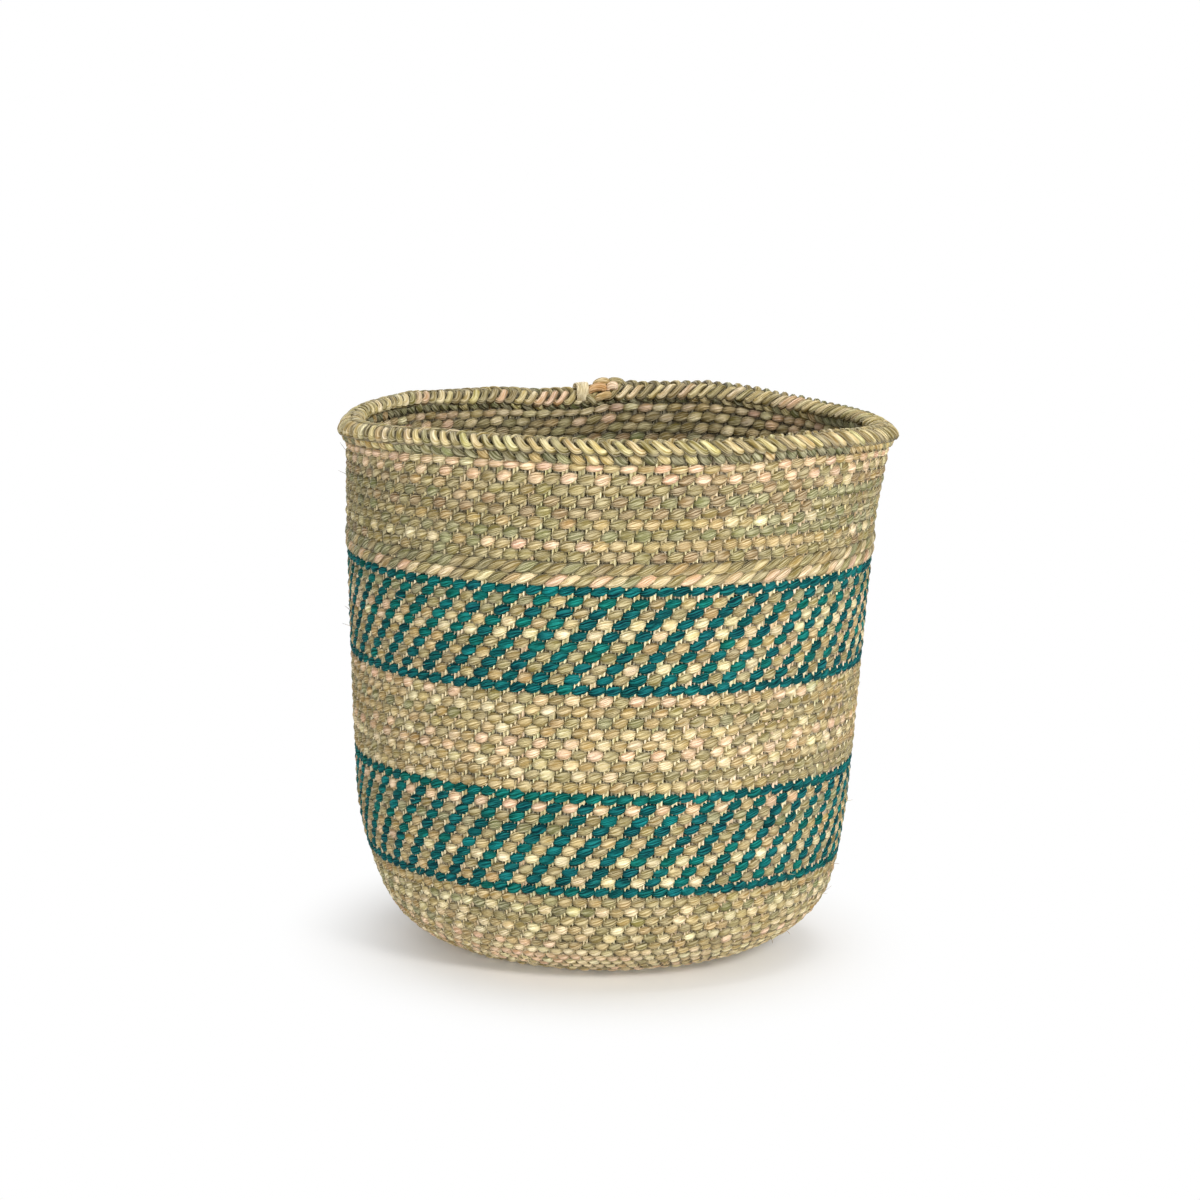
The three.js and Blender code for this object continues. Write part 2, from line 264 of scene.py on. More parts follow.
@dataclass(frozen=True)
class StrandFinish:
    """How the surface of a strand looks: fibres along it, with painted shade in their furrows and a painted
    highlight on their ridges.
    """

    name: str
    fibre_width: float = 0.55
    fibre_length: float = 8.0
    # The painted shade colour for the fibres' furrows, and the painted highlight colour and its share for
    # their ridges.
    furrow_shade: tuple[float, float, float] = (0.62, 0.57, 0.45)
    ridge_highlight: tuple[float, float, float] = (1.0, 0.88, 0.63)
    ridge_highlight_share: float = 0.25
    roughness: float = 0.62
    relief: float = 0.8
    gloss: float = 0.25
    patch_scale: tuple[float, float, float] = (0.16, 0.3, 1.0)
    fibre_part: float = 0.75
    height_range: tuple[float, float] = (0.4, 0.6)
    relief_depth: float = 0.0006
    roughness_swing: float = 0.15
    tab_spacing: float = 0.0
    tab_half_height: float = 1.3
    tab_shade: float = 0.18

    def material(self) -> bpy.types.Material:
        """Builds the material, which reads the strand's own colours and its weave coordinates in millimetres.

        Returns:
            The finished material.
        """
        material = bpy.data.materials.new(self.name)
        material.use_nodes = True
        graph = Graph(material.node_tree)
        weave = graph.node("ShaderNodeUVMap", {"uv_map": "weave"})
        tint = graph.node("ShaderNodeAttribute", {"attribute_name": "tint"})
        if self.tab_spacing:
            tint = self._shade_between_tabs(graph, weave, tint)
        fibre_scale = (1.0 / self.fibre_length, 1.0 / self.fibre_width, 1.0)
        fibres = graph.noise(graph.scale(weave, fibre_scale), 1.0, 1.0)
        patches = graph.noise(graph.scale(weave, self.patch_scale), 1.0, 1.0)
        grain = fibres * self.fibre_part + patches * (1.0 - self.fibre_part)
        low, high = self.height_range
        height = graph.node("ShaderNodeMapRange", None, {0: grain, 1: low, 2: high, 3: 0.0, 4: 1.0})
        # Painted shade in the fibres' furrows and a painted highlight on their ridges, mixed by the grain's
        # height.
        dark = graph.blend("MULTIPLY", 1.0, tint, (*self.furrow_shade, 1.0))
        pale = graph.blend("MIX", self.ridge_highlight_share, tint, (*self.ridge_highlight, 1.0))
        bump = graph.node(
            "ShaderNodeBump",
            None,
            {"Strength": self.relief, "Distance": self.relief_depth, "Height": height},
        )
        surface = graph.node(
            "ShaderNodeBsdfPrincipled",
            None,
            {
                "Base Color": graph.blend("MIX", height, dark, pale),
                "Roughness": self.roughness + self.roughness_swing * (0.5 - height),
                "Specular IOR Level": self.gloss,
                "Normal": bump,
            },
        )
        graph.node("ShaderNodeOutputMaterial", None, {"Surface": surface})
        return material

    def _shade_between_tabs(self, graph: Graph, weave: Link, tint: Link) -> Link:
        """Darkens a stake where strands cover it, and leaves it light at the tabs that show between them.

        Args:
            graph: The graph of the stakes' material.
            weave: The stakes' weave coordinates.
            tint: The stakes' own colours.

        Returns:
            The shaded colours.
        """
        along = graph.node("ShaderNodeSeparateXYZ", None, {0: weave})
        away = graph.node("ShaderNodeMath", {"operation": "PINGPONG"}, {0: along, 1: self.tab_spacing / 2.0})
        near = self.tab_half_height
        far = 2.0 * self.tab_half_height
        light = graph.node("ShaderNodeMapRange", None, {0: away, 1: near, 2: far, 3: 1.0, 4: self.tab_shade})
        return graph.blend("MULTIPLY", 1.0, tint, light)


NATURAL_FINISH = StrandFinish("natural_grass")
TEAL_FINISH = StrandFinish(
    "teal_grass",
    furrow_shade=(0.4, 0.4, 0.4),
    ridge_highlight=(0.03, 0.36, 0.32),
    ridge_highlight_share=0.3,
    roughness=0.65,
    gloss=0.06,
)
REED_FINISH = StrandFinish(
    "pale_reed",
    fibre_width=0.7,
    fibre_length=14.0,
    furrow_shade=(0.78, 0.72, 0.6),
    tab_spacing=9.66,
)
RIM_FINISH = StrandFinish("rim_grass", fibre_width=0.8, furrow_shade=(0.66, 0.6, 0.46))


@dataclass(frozen=True)
class Wall:
    """The wall's profile, as the CAD has it: a flat base, a round heel, a soft belly and a leaning side.

    A place on it is a run, along the outer side from the middle of the base, and a depth inwards from there.
    """

    base_flat: float = 62.5
    heel_radius: float = 44.0
    heel_turn: float = math.radians(72.0)
    belly_radius: float = 180.0
    lean: float = math.radians(3.4)

    def point(self, run: Array, depth: Array) -> tuple[Array, Array]:
        """Finds places on the wall.

        Args:
            run: Millimetres along the outer side from the middle of the base.
            depth: Millimetres inwards from the outer side.

        Returns:
            The radius and the height of each place.
        """
        top_turn = math.pi / 2.0 - self.lean
        heel_length = self.heel_radius * self.heel_turn
        belly_length = self.belly_radius * (top_turn - self.heel_turn)
        along = run - self.base_flat
        heel = np.clip(along, 0.0, heel_length) / self.heel_radius
        belly = self.heel_turn + np.clip(along - heel_length, 0.0, belly_length) / self.belly_radius
        side = np.maximum(along - heel_length - belly_length, 0.0)
        radius = np.minimum(run, self.base_flat) + self.heel_radius * np.sin(heel)
        bulge = self.belly_radius * (np.sin(belly) - math.sin(self.heel_turn))
        radius = radius + bulge + side * math.cos(top_turn)
        height = self.heel_radius * (1.0 - np.cos(heel))
        rise = self.belly_radius * (math.cos(self.heel_turn) - np.cos(belly))
        height = height + rise + side * math.sin(top_turn)
        turn = heel + belly - self.heel_turn
        return radius - depth * np.sin(turn), height + depth * np.cos(turn)


@dataclass(frozen=True)
class Hand:
    """The unevenness of handwork: a slight lean, a tilted, drooping mouth and a heel that is not quite round.

    Tables hold bearings in degrees, from the front towards the right, and millimetres.
    """

    lean_right: float = 1.5
    rim_tilt: float = 1.8
    heel_right: float = 2.2
    heel_lift: float = 2.6
    belly_left: float = 1.2
    full_height: float = 241.0
    heel_height: float = 24.0
    half_width: float = 120.0
    lean_start: float = 229.0
    lean_end: float = 262.0
    turn_below: float = math.radians(-0.31)
    turn_above: float = math.radians(1.38)
    mouth_start: float = 192.0
    mouth_end: float = 242.0
    droop: tuple[tuple[float, float], ...] = (
        (0, -0.2), (10, 0.0), (20, -0.4), (35, -0.1), (45, 0.1), (55, -0.8), (70, -2.6), (85, -4.6),
        (92, -5.4), (100, -5.0), (107, -4.0), (122, -3.6), (130, -2.4), (138, -1.6), (144, -0.5), (150, 0.5),
        (158, 1.2), (165, 0.5), (172, -0.2), (181, -0.5), (186, -2.5), (190, -3.4), (198, -3.8), (203, -2.8),
        (209, -1.8), (217, -2.0), (225, -1.3), (232, -0.5), (240, -1.2), (247, -1.8), (257, -2.6),
        (265, -3.4), (272, -3.8), (280, -3.4), (295, -2.0), (308, -0.8), (320, 0.6), (340, 0.5), (350, 0.4),
    )
    flare: tuple[tuple[float, float], ...] = (
        (0, 0.0), (60, 0.0), (75, 1.5), (90, 3.0), (105, 2.0), (125, 0.0), (255, 0.0), (270, -1.2),
        (285, 0.0),
    )
    top_share: float = 1.05
    heel_reach: float = 3.0

    def turn(self, run: Array) -> Array:
        """Gives how far stakes and stitches have turned around the axis, in and above the upper band."""
        return np.interp(run, (self.lean_start, self.lean_end), (self.turn_below, self.turn_above))

    def settle(self, points: Array) -> Array:
        """Moves true places to where the weaver's hand left them.

        Args:
            points: Places in millimetres, one row each.

        Returns:
            The moved places.
        """
        right, back, up = points.T
        share = np.clip(up / self.full_height, 0.0, self.top_share)
        low = np.exp(-(((up - self.heel_height) / self.heel_height) ** 2))
        outer = np.clip(right / self.half_width, 0.0, 1.0)
        moved = points.copy()
        moved[:, 0] += self.lean_right * share + self.heel_right * low
        fuller = np.clip(-right / self.half_width, 0.0, 1.0) * np.clip(np.sin(math.pi * share), 0.0, 1.0)
        moved[:, 0] -= self.belly_left * fuller
        moved[:, 2] += self.rim_tilt * share * right / self.half_width
        fading = np.clip(1.0 - up / (self.heel_reach * self.heel_height), 0.0, 1.0)
        moved[:, 2] += self.heel_lift * outer * fading
        near = np.clip((up - self.mouth_start) / (self.mouth_end - self.mouth_start), 0.0, 1.0)
        near = near * near * (3.0 - 2.0 * near)
        bearing = np.degrees(np.arctan2(right, -back)) % 360.0
        moved[:, 2] += near * self._around(self.droop, bearing)
        outward = near * self._around(self.flare, bearing)
        moved[:, 0] += outward * np.sin(np.radians(bearing))
        moved[:, 1] -= outward * np.cos(np.radians(bearing))
        return moved

    @staticmethod
    def _around(table: tuple[tuple[float, float], ...], bearing: Array) -> Array:
        """Reads a table of bearings and millimetres, all the way around."""
        bearings, values = zip(*table)
        return np.interp(bearing, bearings, values, period=360.0)


def seed_of(name: str) -> np.random.Generator:
    """Gives each piece its own repeatable source of chance."""
    return np.random.default_rng(zlib.crc32(name.encode()))


def around_axis(bearing: Array, radius: Array, height: Array) -> Array:
    """Turns bearings, measured from the front towards the right, into places around the upright axis."""
    return np.stack([radius * np.sin(bearing), -radius * np.cos(bearing), height], axis=1)


def unit(rows: Array) -> Array:
    """Brings every row to a length of one."""
    return rows / np.linalg.norm(rows, axis=1, keepdims=True)


def powered(wave: Array, power: float) -> Array:
    """Raises a wave to a power and keeps its sign, which squares off a round section."""
    return np.sign(wave) * np.abs(wave) ** power


def inset(share: Array, margin: float) -> Array:
    """Draws shares from 0 to 1 in by a margin at both ends."""
    return margin + (1.0 - 2.0 * margin) * share


@dataclass
class Sheet:
    """The grid of one strand before it is laid: where each vertex lies along and around the strand."""

    obj: bpy.types.Object
    turn: Array
    along: Array
    around: Array


class Workshop:
    """The operations that every piece shares: rolling sheets into strands, joining and dressing them."""

    WELD = 2e-6

    def __init__(self, hand: Hand) -> None:
        """Keeps the unevenness that every piece follows and builds the finishes."""
        self.hand = hand
        self.finishes = {
            Slot.NATURAL: NATURAL_FINISH.material(),
            Slot.TEAL: TEAL_FINISH.material(),
            Slot.REED: REED_FINISH.material(),
            Slot.RIM: RIM_FINISH.material(),
        }

    def sheet(self, steps: int, sides: int, repeats: int, knots: Sequence[float] | None = None) -> Sheet:
        """Models one repeat of a strand as a flat sheet and copies it end to end.

        Args:
            steps: Faces along one repeat.
            sides: Faces around the strand.
            repeats: How many repeats follow each other.
            knots: Where the steps fall along the repeat, even where none are given.

        Returns:
            The sheet, with the place of each vertex along and around the strand.
        """
        bpy.ops.object.select_all(action="DESELECT")
        bpy.ops.mesh.primitive_grid_add(
            x_subdivisions=steps, y_subdivisions=sides, size=1.0, location=(0.5, 0.5, 0.0)
        )
        bpy.ops.object.transform_apply(location=True, rotation=False, scale=False)
        obj = bpy.context.object
        each = len(obj.data.vertices)
        if repeats > 1:
            copies = obj.modifiers.new("repeats", "ARRAY")
            copies.count = repeats
            copies.use_relative_offset = False
            copies.use_constant_offset = True
            copies.constant_offset_displace = (1.0, 0.0, 0.0)
            bpy.ops.object.modifier_apply(modifier=copies.name)
        flat = np.empty(len(obj.data.vertices) * 3)
        obj.data.vertices.foreach_get("co", flat)
        flat = flat.reshape(-1, 3)
        turn = np.repeat(np.arange(repeats), each)
        even = np.linspace(0.0, 1.0, steps + 1)
        places = even if knots is None else np.asarray(knots)
        along = np.interp(flat[:, 0] - turn, even, places)
        return Sheet(obj, turn, along, flat[:, 1])

    def lay(self, sheet: Sheet, points: Array, colours: Array, bake: Array, weave: Array) -> bpy.types.Object:
        """Lays a sheet on its path and gives it colours and coordinates.

        Args:
            sheet: The sheet.
            points: The place of each vertex, in millimetres, before the hand's unevenness.
            colours: The linear colour of each vertex, with painted shade in it.
            bake: The unrolled place of each vertex, from 0 to 1 both ways.
            weave: Millimetres along and around the strand at each vertex.

        Returns:
            The laid object.
        """
        mesh = sheet.obj.data
        settled = self.hand.settle(points) * METRES
        mesh.vertices.foreach_set("co", settled.astype(np.float32).ravel())
        tint = mesh.color_attributes.new("tint", "FLOAT_COLOR", "POINT")
        rgba = np.ones((len(points), 4), np.float32)
        rgba[:, :3] = colours
        tint.data.foreach_set("color", rgba.ravel())
        loops = np.empty(len(mesh.loops), np.int32)
        mesh.loops.foreach_get("vertex_index", loops)
        mesh.uv_layers[0].name = "OFBake"
        mesh.uv_layers["OFBake"].data.foreach_set("uv", bake[loops].astype(np.float32).ravel())
        mesh.uv_layers.new(name="weave")
        mesh.uv_layers["weave"].data.foreach_set("uv", weave[loops].astype(np.float32).ravel())
        mesh.update()
        return sheet.obj

    def finish(
        self, parts: Sequence[bpy.types.Object], name: str, slot: Slot, nodes: Sequence[str] = ()
    ) -> bpy.types.Object:
        """Joins laid parts into one piece, closes its seams, dresses it and hangs it on the basket.

        Args:
            parts: The laid objects.
            name: The piece's name.
            slot: The material slot.
            nodes: CAD nodes that the piece stands for.

        Returns:
            The finished piece.
        """
        bpy.ops.object.select_all(action="DESELECT")
        for part in parts:
            part.select_set(True)
        bpy.context.view_layer.objects.active = parts[0]
        if len(parts) > 1:
            bpy.ops.object.join()
        piece = bpy.context.object
        bpy.ops.object.mode_set(mode="EDIT")
        bpy.ops.mesh.select_all(action="SELECT")
        bpy.ops.mesh.remove_doubles(threshold=self.WELD)
        bpy.ops.mesh.normals_make_consistent(inside=False)
        bpy.ops.object.mode_set(mode="OBJECT")
        bpy.ops.object.shade_smooth()
        piece.name = name
        piece.data.name = name
        piece.data.materials.clear()
        piece.data.materials.append(self.finishes[slot])
        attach(piece, "root")
        if nodes:
            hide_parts(*nodes)
        LOG.info("%s: %d faces", name, len(piece.data.polygons))
        return piece


@dataclass(frozen=True)
class Stitch:
    """The shape of a twined stitch, in millimetres: its section, and how it goes out, up and back in.

    Fields that end in chance say how much one stitch differs from the next.
    """

    half_height: float = 2.7
    half_thickness: float = 1.7
    crossing_height: float = 1.1
    crossing_thickness: float = 0.9
    middle_depth: float = 3.2
    reach: float = 1.95
    climb: float = 0.85
    squareness: float = 3.0
    outside_bias: float = -0.1
    taper: float = 0.9
    fullness: float = 0.85
    # Painted shade: the next four fields darken a stitch along its edges where it meets the next course, and
    # the two after them darken it where it dives in.
    crevice_shade: float = 0.92
    seam: float = 0.4
    seam_shade_power: float = 2.7
    seam_shade_tilt: float = 0.9
    end_shade_tone: float = 0.02
    end_length: float = 0.6
    full_length: float = 13.0
    height_chance: float = 0.13
    slant_chance: float = 0.16
    depth_chance: float = 0.14
    width_chance: float = 0.07
    slide_chance: float = 0.02


@dataclass(frozen=True)
class Round:
    """One course: where it runs on the wall, how often its strands twine, and how far it has stepped on."""

    run: float
    periods: int
    shift: float


class Weave:
    """Lays twined courses on the wall."""

    KNOTS = (-0.5, -0.39, -0.29, -0.235, -0.175, -0.105, -0.035, 0.035, 0.105, 0.175, 0.235, 0.29, 0.39, 0.5)
    CROSSING = 0.25
    SIDES = 8
    SWAYS = 5
    SWAY = 0.16
    CHANCE_LIMIT = 2.0
    SMALL = 1e-3
    ROW_MARGIN = 0.03
    ROW_SPACING = 17.0

    def __init__(self, workshop: Workshop, wall: Wall) -> None:
        """Keeps the workshop and the wall."""
        self.workshop = workshop
        self.wall = wall

    def strand(
        self,
        course: Round,
        stitch: Stitch,
        phase: float,
        palette: Palette,
        rng: np.random.Generator,
        rows: tuple[int, int],
    ) -> bpy.types.Object:
        """Lays one strand of one course.

        Args:
            course: The course.
            stitch: The shape of its stitches.
            phase: The strand's share of a period behind the first strand of the course.
            palette: The strand's colours.
            rng: The piece's source of chance.
            rows: This strand's row in the piece's unrolled layout, and the number of rows.

        Returns:
            The laid strand.
        """
        count = course.periods
        sheet = self.workshop.sheet(len(self.KNOTS) - 1, self.SIDES, count, self.KNOTS)
        before = np.where(sheet.along < -self.CROSSING, -1, 0)
        index = (2 * sheet.turn + np.where(sheet.along > self.CROSSING, 1, before)) % (2 * count)
        chance = rng.standard_normal((5, 2 * count)).clip(-self.CHANCE_LIMIT, self.CHANCE_LIMIT)[:, index]
        radius, _ = self.wall.point(np.array([course.run]), np.array([stitch.middle_depth]))
        length = FULL_TURN * float(radius[0]) / count

        def lift(along: Array) -> tuple[Array, Array]:
            """Follows the strand's middle along a period.

            Args:
                along: Shares of the period.

            Returns:
                How far up the wall and how deep in it the middle lies.
            """
            wave = np.cos(FULL_TURN * along)
            rise = np.sin(FULL_TURN * along)
            out = np.tanh(stitch.squareness * (wave + stitch.outside_bias))
            out = out / math.tanh(stitch.squareness * (1.0 + stitch.outside_bias))
            calm = np.abs(wave)
            stray = stitch.height_chance * chance[0] + stitch.slant_chance * chance[1] * rise
            reach = stitch.reach + stitch.depth_chance * calm * chance[2]
            return stitch.climb * rise + calm * stray, stitch.middle_depth - reach * out

        up, deep = lift(sheet.along)
        up_after, deep_after = lift(sheet.along + self.SMALL)
        up_before, deep_before = lift(sheet.along - self.SMALL)
        slope_up = (up_after - up_before) / (2.0 * self.SMALL)
        slope_deep = (deep_after - deep_before) / (2.0 * self.SMALL)
        wave = np.cos(FULL_TURN * sheet.along) + stitch.outside_bias
        outside = wave / (1.0 + stitch.outside_bias)
        inside = -wave / (1.0 - stitch.outside_bias)
        open_wave = np.where(wave > 0.0, outside, inside)
        open_share = open_wave**stitch.taper
        half_height = stitch.crossing_height + (stitch.half_height - stitch.crossing_height) * open_share
        half_height = half_height * (1.0 + stitch.width_chance * chance[3] * open_share)
        thicker = stitch.half_thickness - stitch.crossing_thickness
        squeeze = min(1.0, length / stitch.full_length)
        half_thick = (stitch.crossing_thickness + thicker * open_share) * squeeze
        level = np.full_like(up, length)
        tangent = unit(np.stack([level, slope_up, slope_deep], axis=1))
        upward = unit(np.stack([-slope_up, level, np.zeros_like(up)], axis=1))
        outward = np.cross(upward, tangent)
        angle = FULL_TURN * sheet.around
        side = powered(np.sin(angle), stitch.fullness) * half_height
        face = powered(np.cos(angle), stitch.fullness) * half_thick
        offset = upward * side[:, None] + outward * face[:, None]
        slide = stitch.slide_chance * chance[4] * open_share
        walked = sheet.turn + sheet.along
        place = walked + slide + phase + course.shift + offset[:, 0] / length
        bearing = FULL_TURN * place / count + self.workshop.hand.turn(course.run)
        sway = rng.standard_normal(self.SWAYS) * self.SWAY
        turns = rng.uniform(0.0, FULL_TURN, self.SWAYS)
        for order in range(self.SWAYS):
            up = up + sway[order] * np.sin((order + 2) * bearing + turns[order])
        radius, height = self.wall.point(course.run + up + offset[:, 1], deep + offset[:, 2])
        row, row_count = rows
        layer = (row + inset(sheet.around, self.ROW_MARGIN)) / row_count
        bake = np.stack([(walked + 0.5) / count, layer], axis=1)
        girth = math.pi * (stitch.half_height + stitch.half_thickness)
        weave = np.stack([walked * length, sheet.around * girth + self.ROW_SPACING * row], axis=1)
        shade = self._shade(stitch, sheet.along, angle, open_wave)
        colours = palette.draw(rng, 2 * count)[index] * palette.shadow(shade)
        return self.workshop.lay(sheet, around_axis(bearing, radius, height), colours, bake, weave)

    @staticmethod
    def _shade(stitch: Stitch, along: Array, angle: Array, open_wave: Array) -> Array:
        """Finds where little light falls, for the shade painted into the colours: in the hollow to the next
        course, and where the strand dives in.

        Args:
            stitch: The shape of the stitch.
            along: Places along the period.
            angle: Places around the section.
            open_wave: How far the strand has come out of its crossing at each place, from 0 to 1.

        Returns:
            Shares of light.
        """
        rise = np.sin(FULL_TURN * along) * math.copysign(1.0, stitch.climb)
        meets = np.clip(stitch.seam + 0.5 + stitch.seam_shade_tilt * rise * np.sign(np.sin(angle)), 0.0, 1.0)
        meets = meets * np.abs(np.sin(angle)) ** stitch.seam_shade_power
        ends = stitch.end_shade_tone + (1.0 - stitch.end_shade_tone) * np.clip(open_wave / stitch.end_length, 0.0, 1.0)
        return (1.0 - stitch.crevice_shade * meets) * ends


@dataclass
class StrandSpec:
    """One of the strands that twine in a zone: its piece, its colours by course, and its finish."""

    suffix: str
    phase: float
    palettes: tuple[Palette, ...]
    slot: Slot
    nodes: tuple[str, ...] = ()
    stitch: Stitch | None = None


@dataclass
class Zone:
    """A zone of courses that are twined alike."""

    name: str
    first_run: float
    pitch: float
    periods: tuple[int, ...]
    strands: tuple[StrandSpec, ...]
    first_course: int = 0
    stitch: Stitch = field(default_factory=Stitch)
    step: float = 0.25
    together: bool = False
    last_stitch: Stitch | None = None

    def rounds(self) -> list[Round]:
        """Lists the zone's courses from the base upwards."""
        return [
            Round(self.first_run + (row + 0.5) * self.pitch, count, self.step * (self.first_course + row))
            for row, count in enumerate(self.periods)
        ]

    def build(self, weave: Weave) -> list[bpy.types.Object]:
        """Weaves the zone.

        Args:
            weave: The loom that lays its strands.

        Returns:
            One piece for each strand, or one for all where they belong together.
        """
        courses = self.rounds()
        laid: dict[str, list[bpy.types.Object]] = {}
        for number, spec in enumerate(self.strands):
            rng = seed_of(self.name + spec.suffix)
            parts = []
            for row, course in enumerate(courses):
                palette = spec.palettes[row % len(spec.palettes)]
                if self.together:
                    rows = (number * len(courses) + row, len(courses) * len(self.strands))
                else:
                    rows = (row, len(courses))
                stitch = spec.stitch or self.stitch
                if self.last_stitch and row == len(courses) - 1:
                    stitch = self.last_stitch
                parts.append(weave.strand(course, stitch, spec.phase, palette, rng, rows))
            laid[spec.suffix] = parts
        if self.together:
            first = self.strands[0]
            every = [part for parts in laid.values() for part in parts]
            return [weave.workshop.finish(every, self.name + "_strands", first.slot, first.nodes)]
        return [
            weave.workshop.finish(laid[spec.suffix], f"{self.name}_{spec.suffix}", spec.slot, spec.nodes)
            for spec in self.strands
        ]


@dataclass(frozen=True)
class Fan:
    """Stakes of one length: where they start and end on the wall, their number, and faces along each."""

    low: float
    high: float
    count: int
    steps: int


@dataclass
class Stakes:
    """The reed stakes that fan out from the base and stand in the wall, two thin reeds in each."""

    wall: Wall
    fans: tuple[Fan, ...] = (
        Fan(3.0, 11.0, 12, 3),
        Fan(9.5, 22.0, 32, 4),
        Fan(19.0, 42.0, 64, 6),
        Fan(38.5, 66.0, 120, 6),
        Fan(60.0, 80.0, 156, 6),
        Fan(75.0, 331.0, 208, 46),
    )
    depth: float = 3.2
    half_thickness: float = 2.85
    widest: float = 2.0
    share_of_pitch: float = 0.505
    least_radius: float = 3.0
    groove_shade: float = 0.2
    upper_run: float = 280.5
    upper_tone: float = 0.74
    course_pitch: float = 4.83
    course_runs: tuple[float, ...] = (62.5, 270.19, 280.49, 323.96, 338.45)
    course_numbers: tuple[float, ...] = (0.0, 43.0, 45.0, 54.0, 57.0)
    girth: float = 9.0
    spacing: float = 11.0
    margin: float = 0.1

    SECTION = (
        (1.0, 0.0),
        (0.55, 0.95),
        (0.0, 0.4),
        (-0.55, 0.95),
        (-1.0, 0.0),
        (-0.5, -0.5),
        (0.0, -0.3),
        (0.5, -0.5),
    )

    def build(self, workshop: Workshop, nodes: Sequence[str]) -> bpy.types.Object:
        """Stands the stakes in the wall.

        Args:
            workshop: The workshop.
            nodes: The CAD nodes of the stakes.

        Returns:
            The finished piece.
        """
        rng = seed_of("stakes")
        parts = []
        corner = np.array(self.SECTION + self.SECTION[:1])
        total = sum(fan.count for fan in self.fans)
        start = 0
        for fan in self.fans:
            sheet = workshop.sheet(fan.steps, len(self.SECTION), fan.count)
            place = np.rint(sheet.around * len(self.SECTION)).astype(int)
            run = fan.low + sheet.along * (fan.high - fan.low)
            middle, _ = self.wall.point(run, np.full_like(run, self.depth))
            half_width = np.minimum(self.share_of_pitch * FULL_TURN * middle / fan.count, self.widest)
            wide = corner[place, 0] * half_width
            thick = corner[place, 1] * self.half_thickness
            aside = wide / np.maximum(middle, self.least_radius)
            bearing = FULL_TURN * (sheet.turn + 0.5) / fan.count - aside + workshop.hand.turn(run)
            course = np.interp(run, self.course_runs, self.course_numbers) - sheet.turn % 2
            radius, height = self.wall.point(run, self.depth - thick)
            column = (start + sheet.turn + inset(sheet.around, self.margin)) / total
            bake = np.stack([column, sheet.along], axis=1)
            fibres = sheet.around * self.girth + self.spacing * sheet.turn
            weave = np.stack([course * self.course_pitch, fibres], axis=1)
            # Painted shade in the hollow between the two reeds and on their sides; the stakes are also darker
            # above upper_run.
            ridge_highlight = np.clip(np.abs(corner[place, 1]), 0.0, 1.0)
            tone = self.groove_shade + (1.0 - self.groove_shade) * ridge_highlight
            tone = tone * np.where(run > self.upper_run, self.upper_tone, 1.0)
            colours = REEDS.draw(rng, fan.count)[sheet.turn] * REEDS.shadow(tone)
            parts.append(workshop.lay(sheet, around_axis(bearing, radius, height), colours, bake, weave))
            start += fan.count
        return workshop.finish(parts, "stakes", Slot.REED, nodes)


def at_back(radius: float, right: Array, inward: Array, up: Array) -> Array:
    """Places points at the back of the rim, from millimetres to the right, inwards and up."""
    return around_axis(math.pi - right / radius, radius - inward, up)


@dataclass(frozen=True)
class Tie:
    """The flat ribbon of grass that is bound around the plait at the back."""

    radius: float
    place: float = -16.6
    height: float = 242.6
    half_width: float = 3.1
    half_depth: float = 7.1
    half_height: float = 4.6
    half_thickness: float = 0.4
    steps: int = 36
    sides: int = 8
    edge_power: float = 0.5
    corner_power: float = 0.7
    narrowing: float = 0.16
    length: float = 40.0
    fibre_spread: float = 1.6
    fibre_start: float = 90.0
    paleness: float = 1.15
    unevenness: float = 0.02

    def build(self, workshop: Workshop) -> bpy.types.Object:
        """Wraps the tie around the plait.

        Args:
            workshop: The workshop.

        Returns:
            The finished piece.
        """
        rng = seed_of("tie")
        sheet = workshop.sheet(self.steps, self.sides, 1)
        turn = FULL_TURN * sheet.along
        angle = FULL_TURN * sheet.around
        wide = powered(np.cos(angle), self.edge_power) * self.half_width
        thick = powered(np.sin(angle), self.edge_power) * self.half_thickness
        across = powered(np.cos(turn), self.corner_power)
        above = powered(np.sin(turn), self.corner_power)
        narrow = 1.0 - self.narrowing * np.clip(-above, 0.0, 1.0)
        inward = across * (self.half_depth + thick)
        up = self.height + above * (self.half_height + thick)
        points = at_back(self.radius, self.place + wide * narrow, inward, up)
        bake = np.stack([inset(sheet.along, BAKE_MARGIN), inset(sheet.around, BAKE_MARGIN)], axis=1)
        weave = np.stack([sheet.along * self.length, wide * self.fibre_spread + self.fibre_start], axis=1)
        tones = np.tile(Dye.REED.linear * self.paleness, (len(points), 1))
        colours = tones * (1.0 + self.unevenness * rng.standard_normal((1, 3)))
        laid = workshop.lay(sheet, points, colours, bake, weave)
        return workshop.finish([laid], "rim_tie", Slot.RIM, ["rim_tie"])


@dataclass(frozen=True)
class Stub:
    """A short strand at the end of the plait: its two ends, how far its middle bows up, and its half width.

    Places are millimetres to the right, inwards from the plait's middle line, and up.
    """

    start: tuple[float, float, float]
    end: tuple[float, float, float]
    bow: float
    half_width: float
    dye: Dye


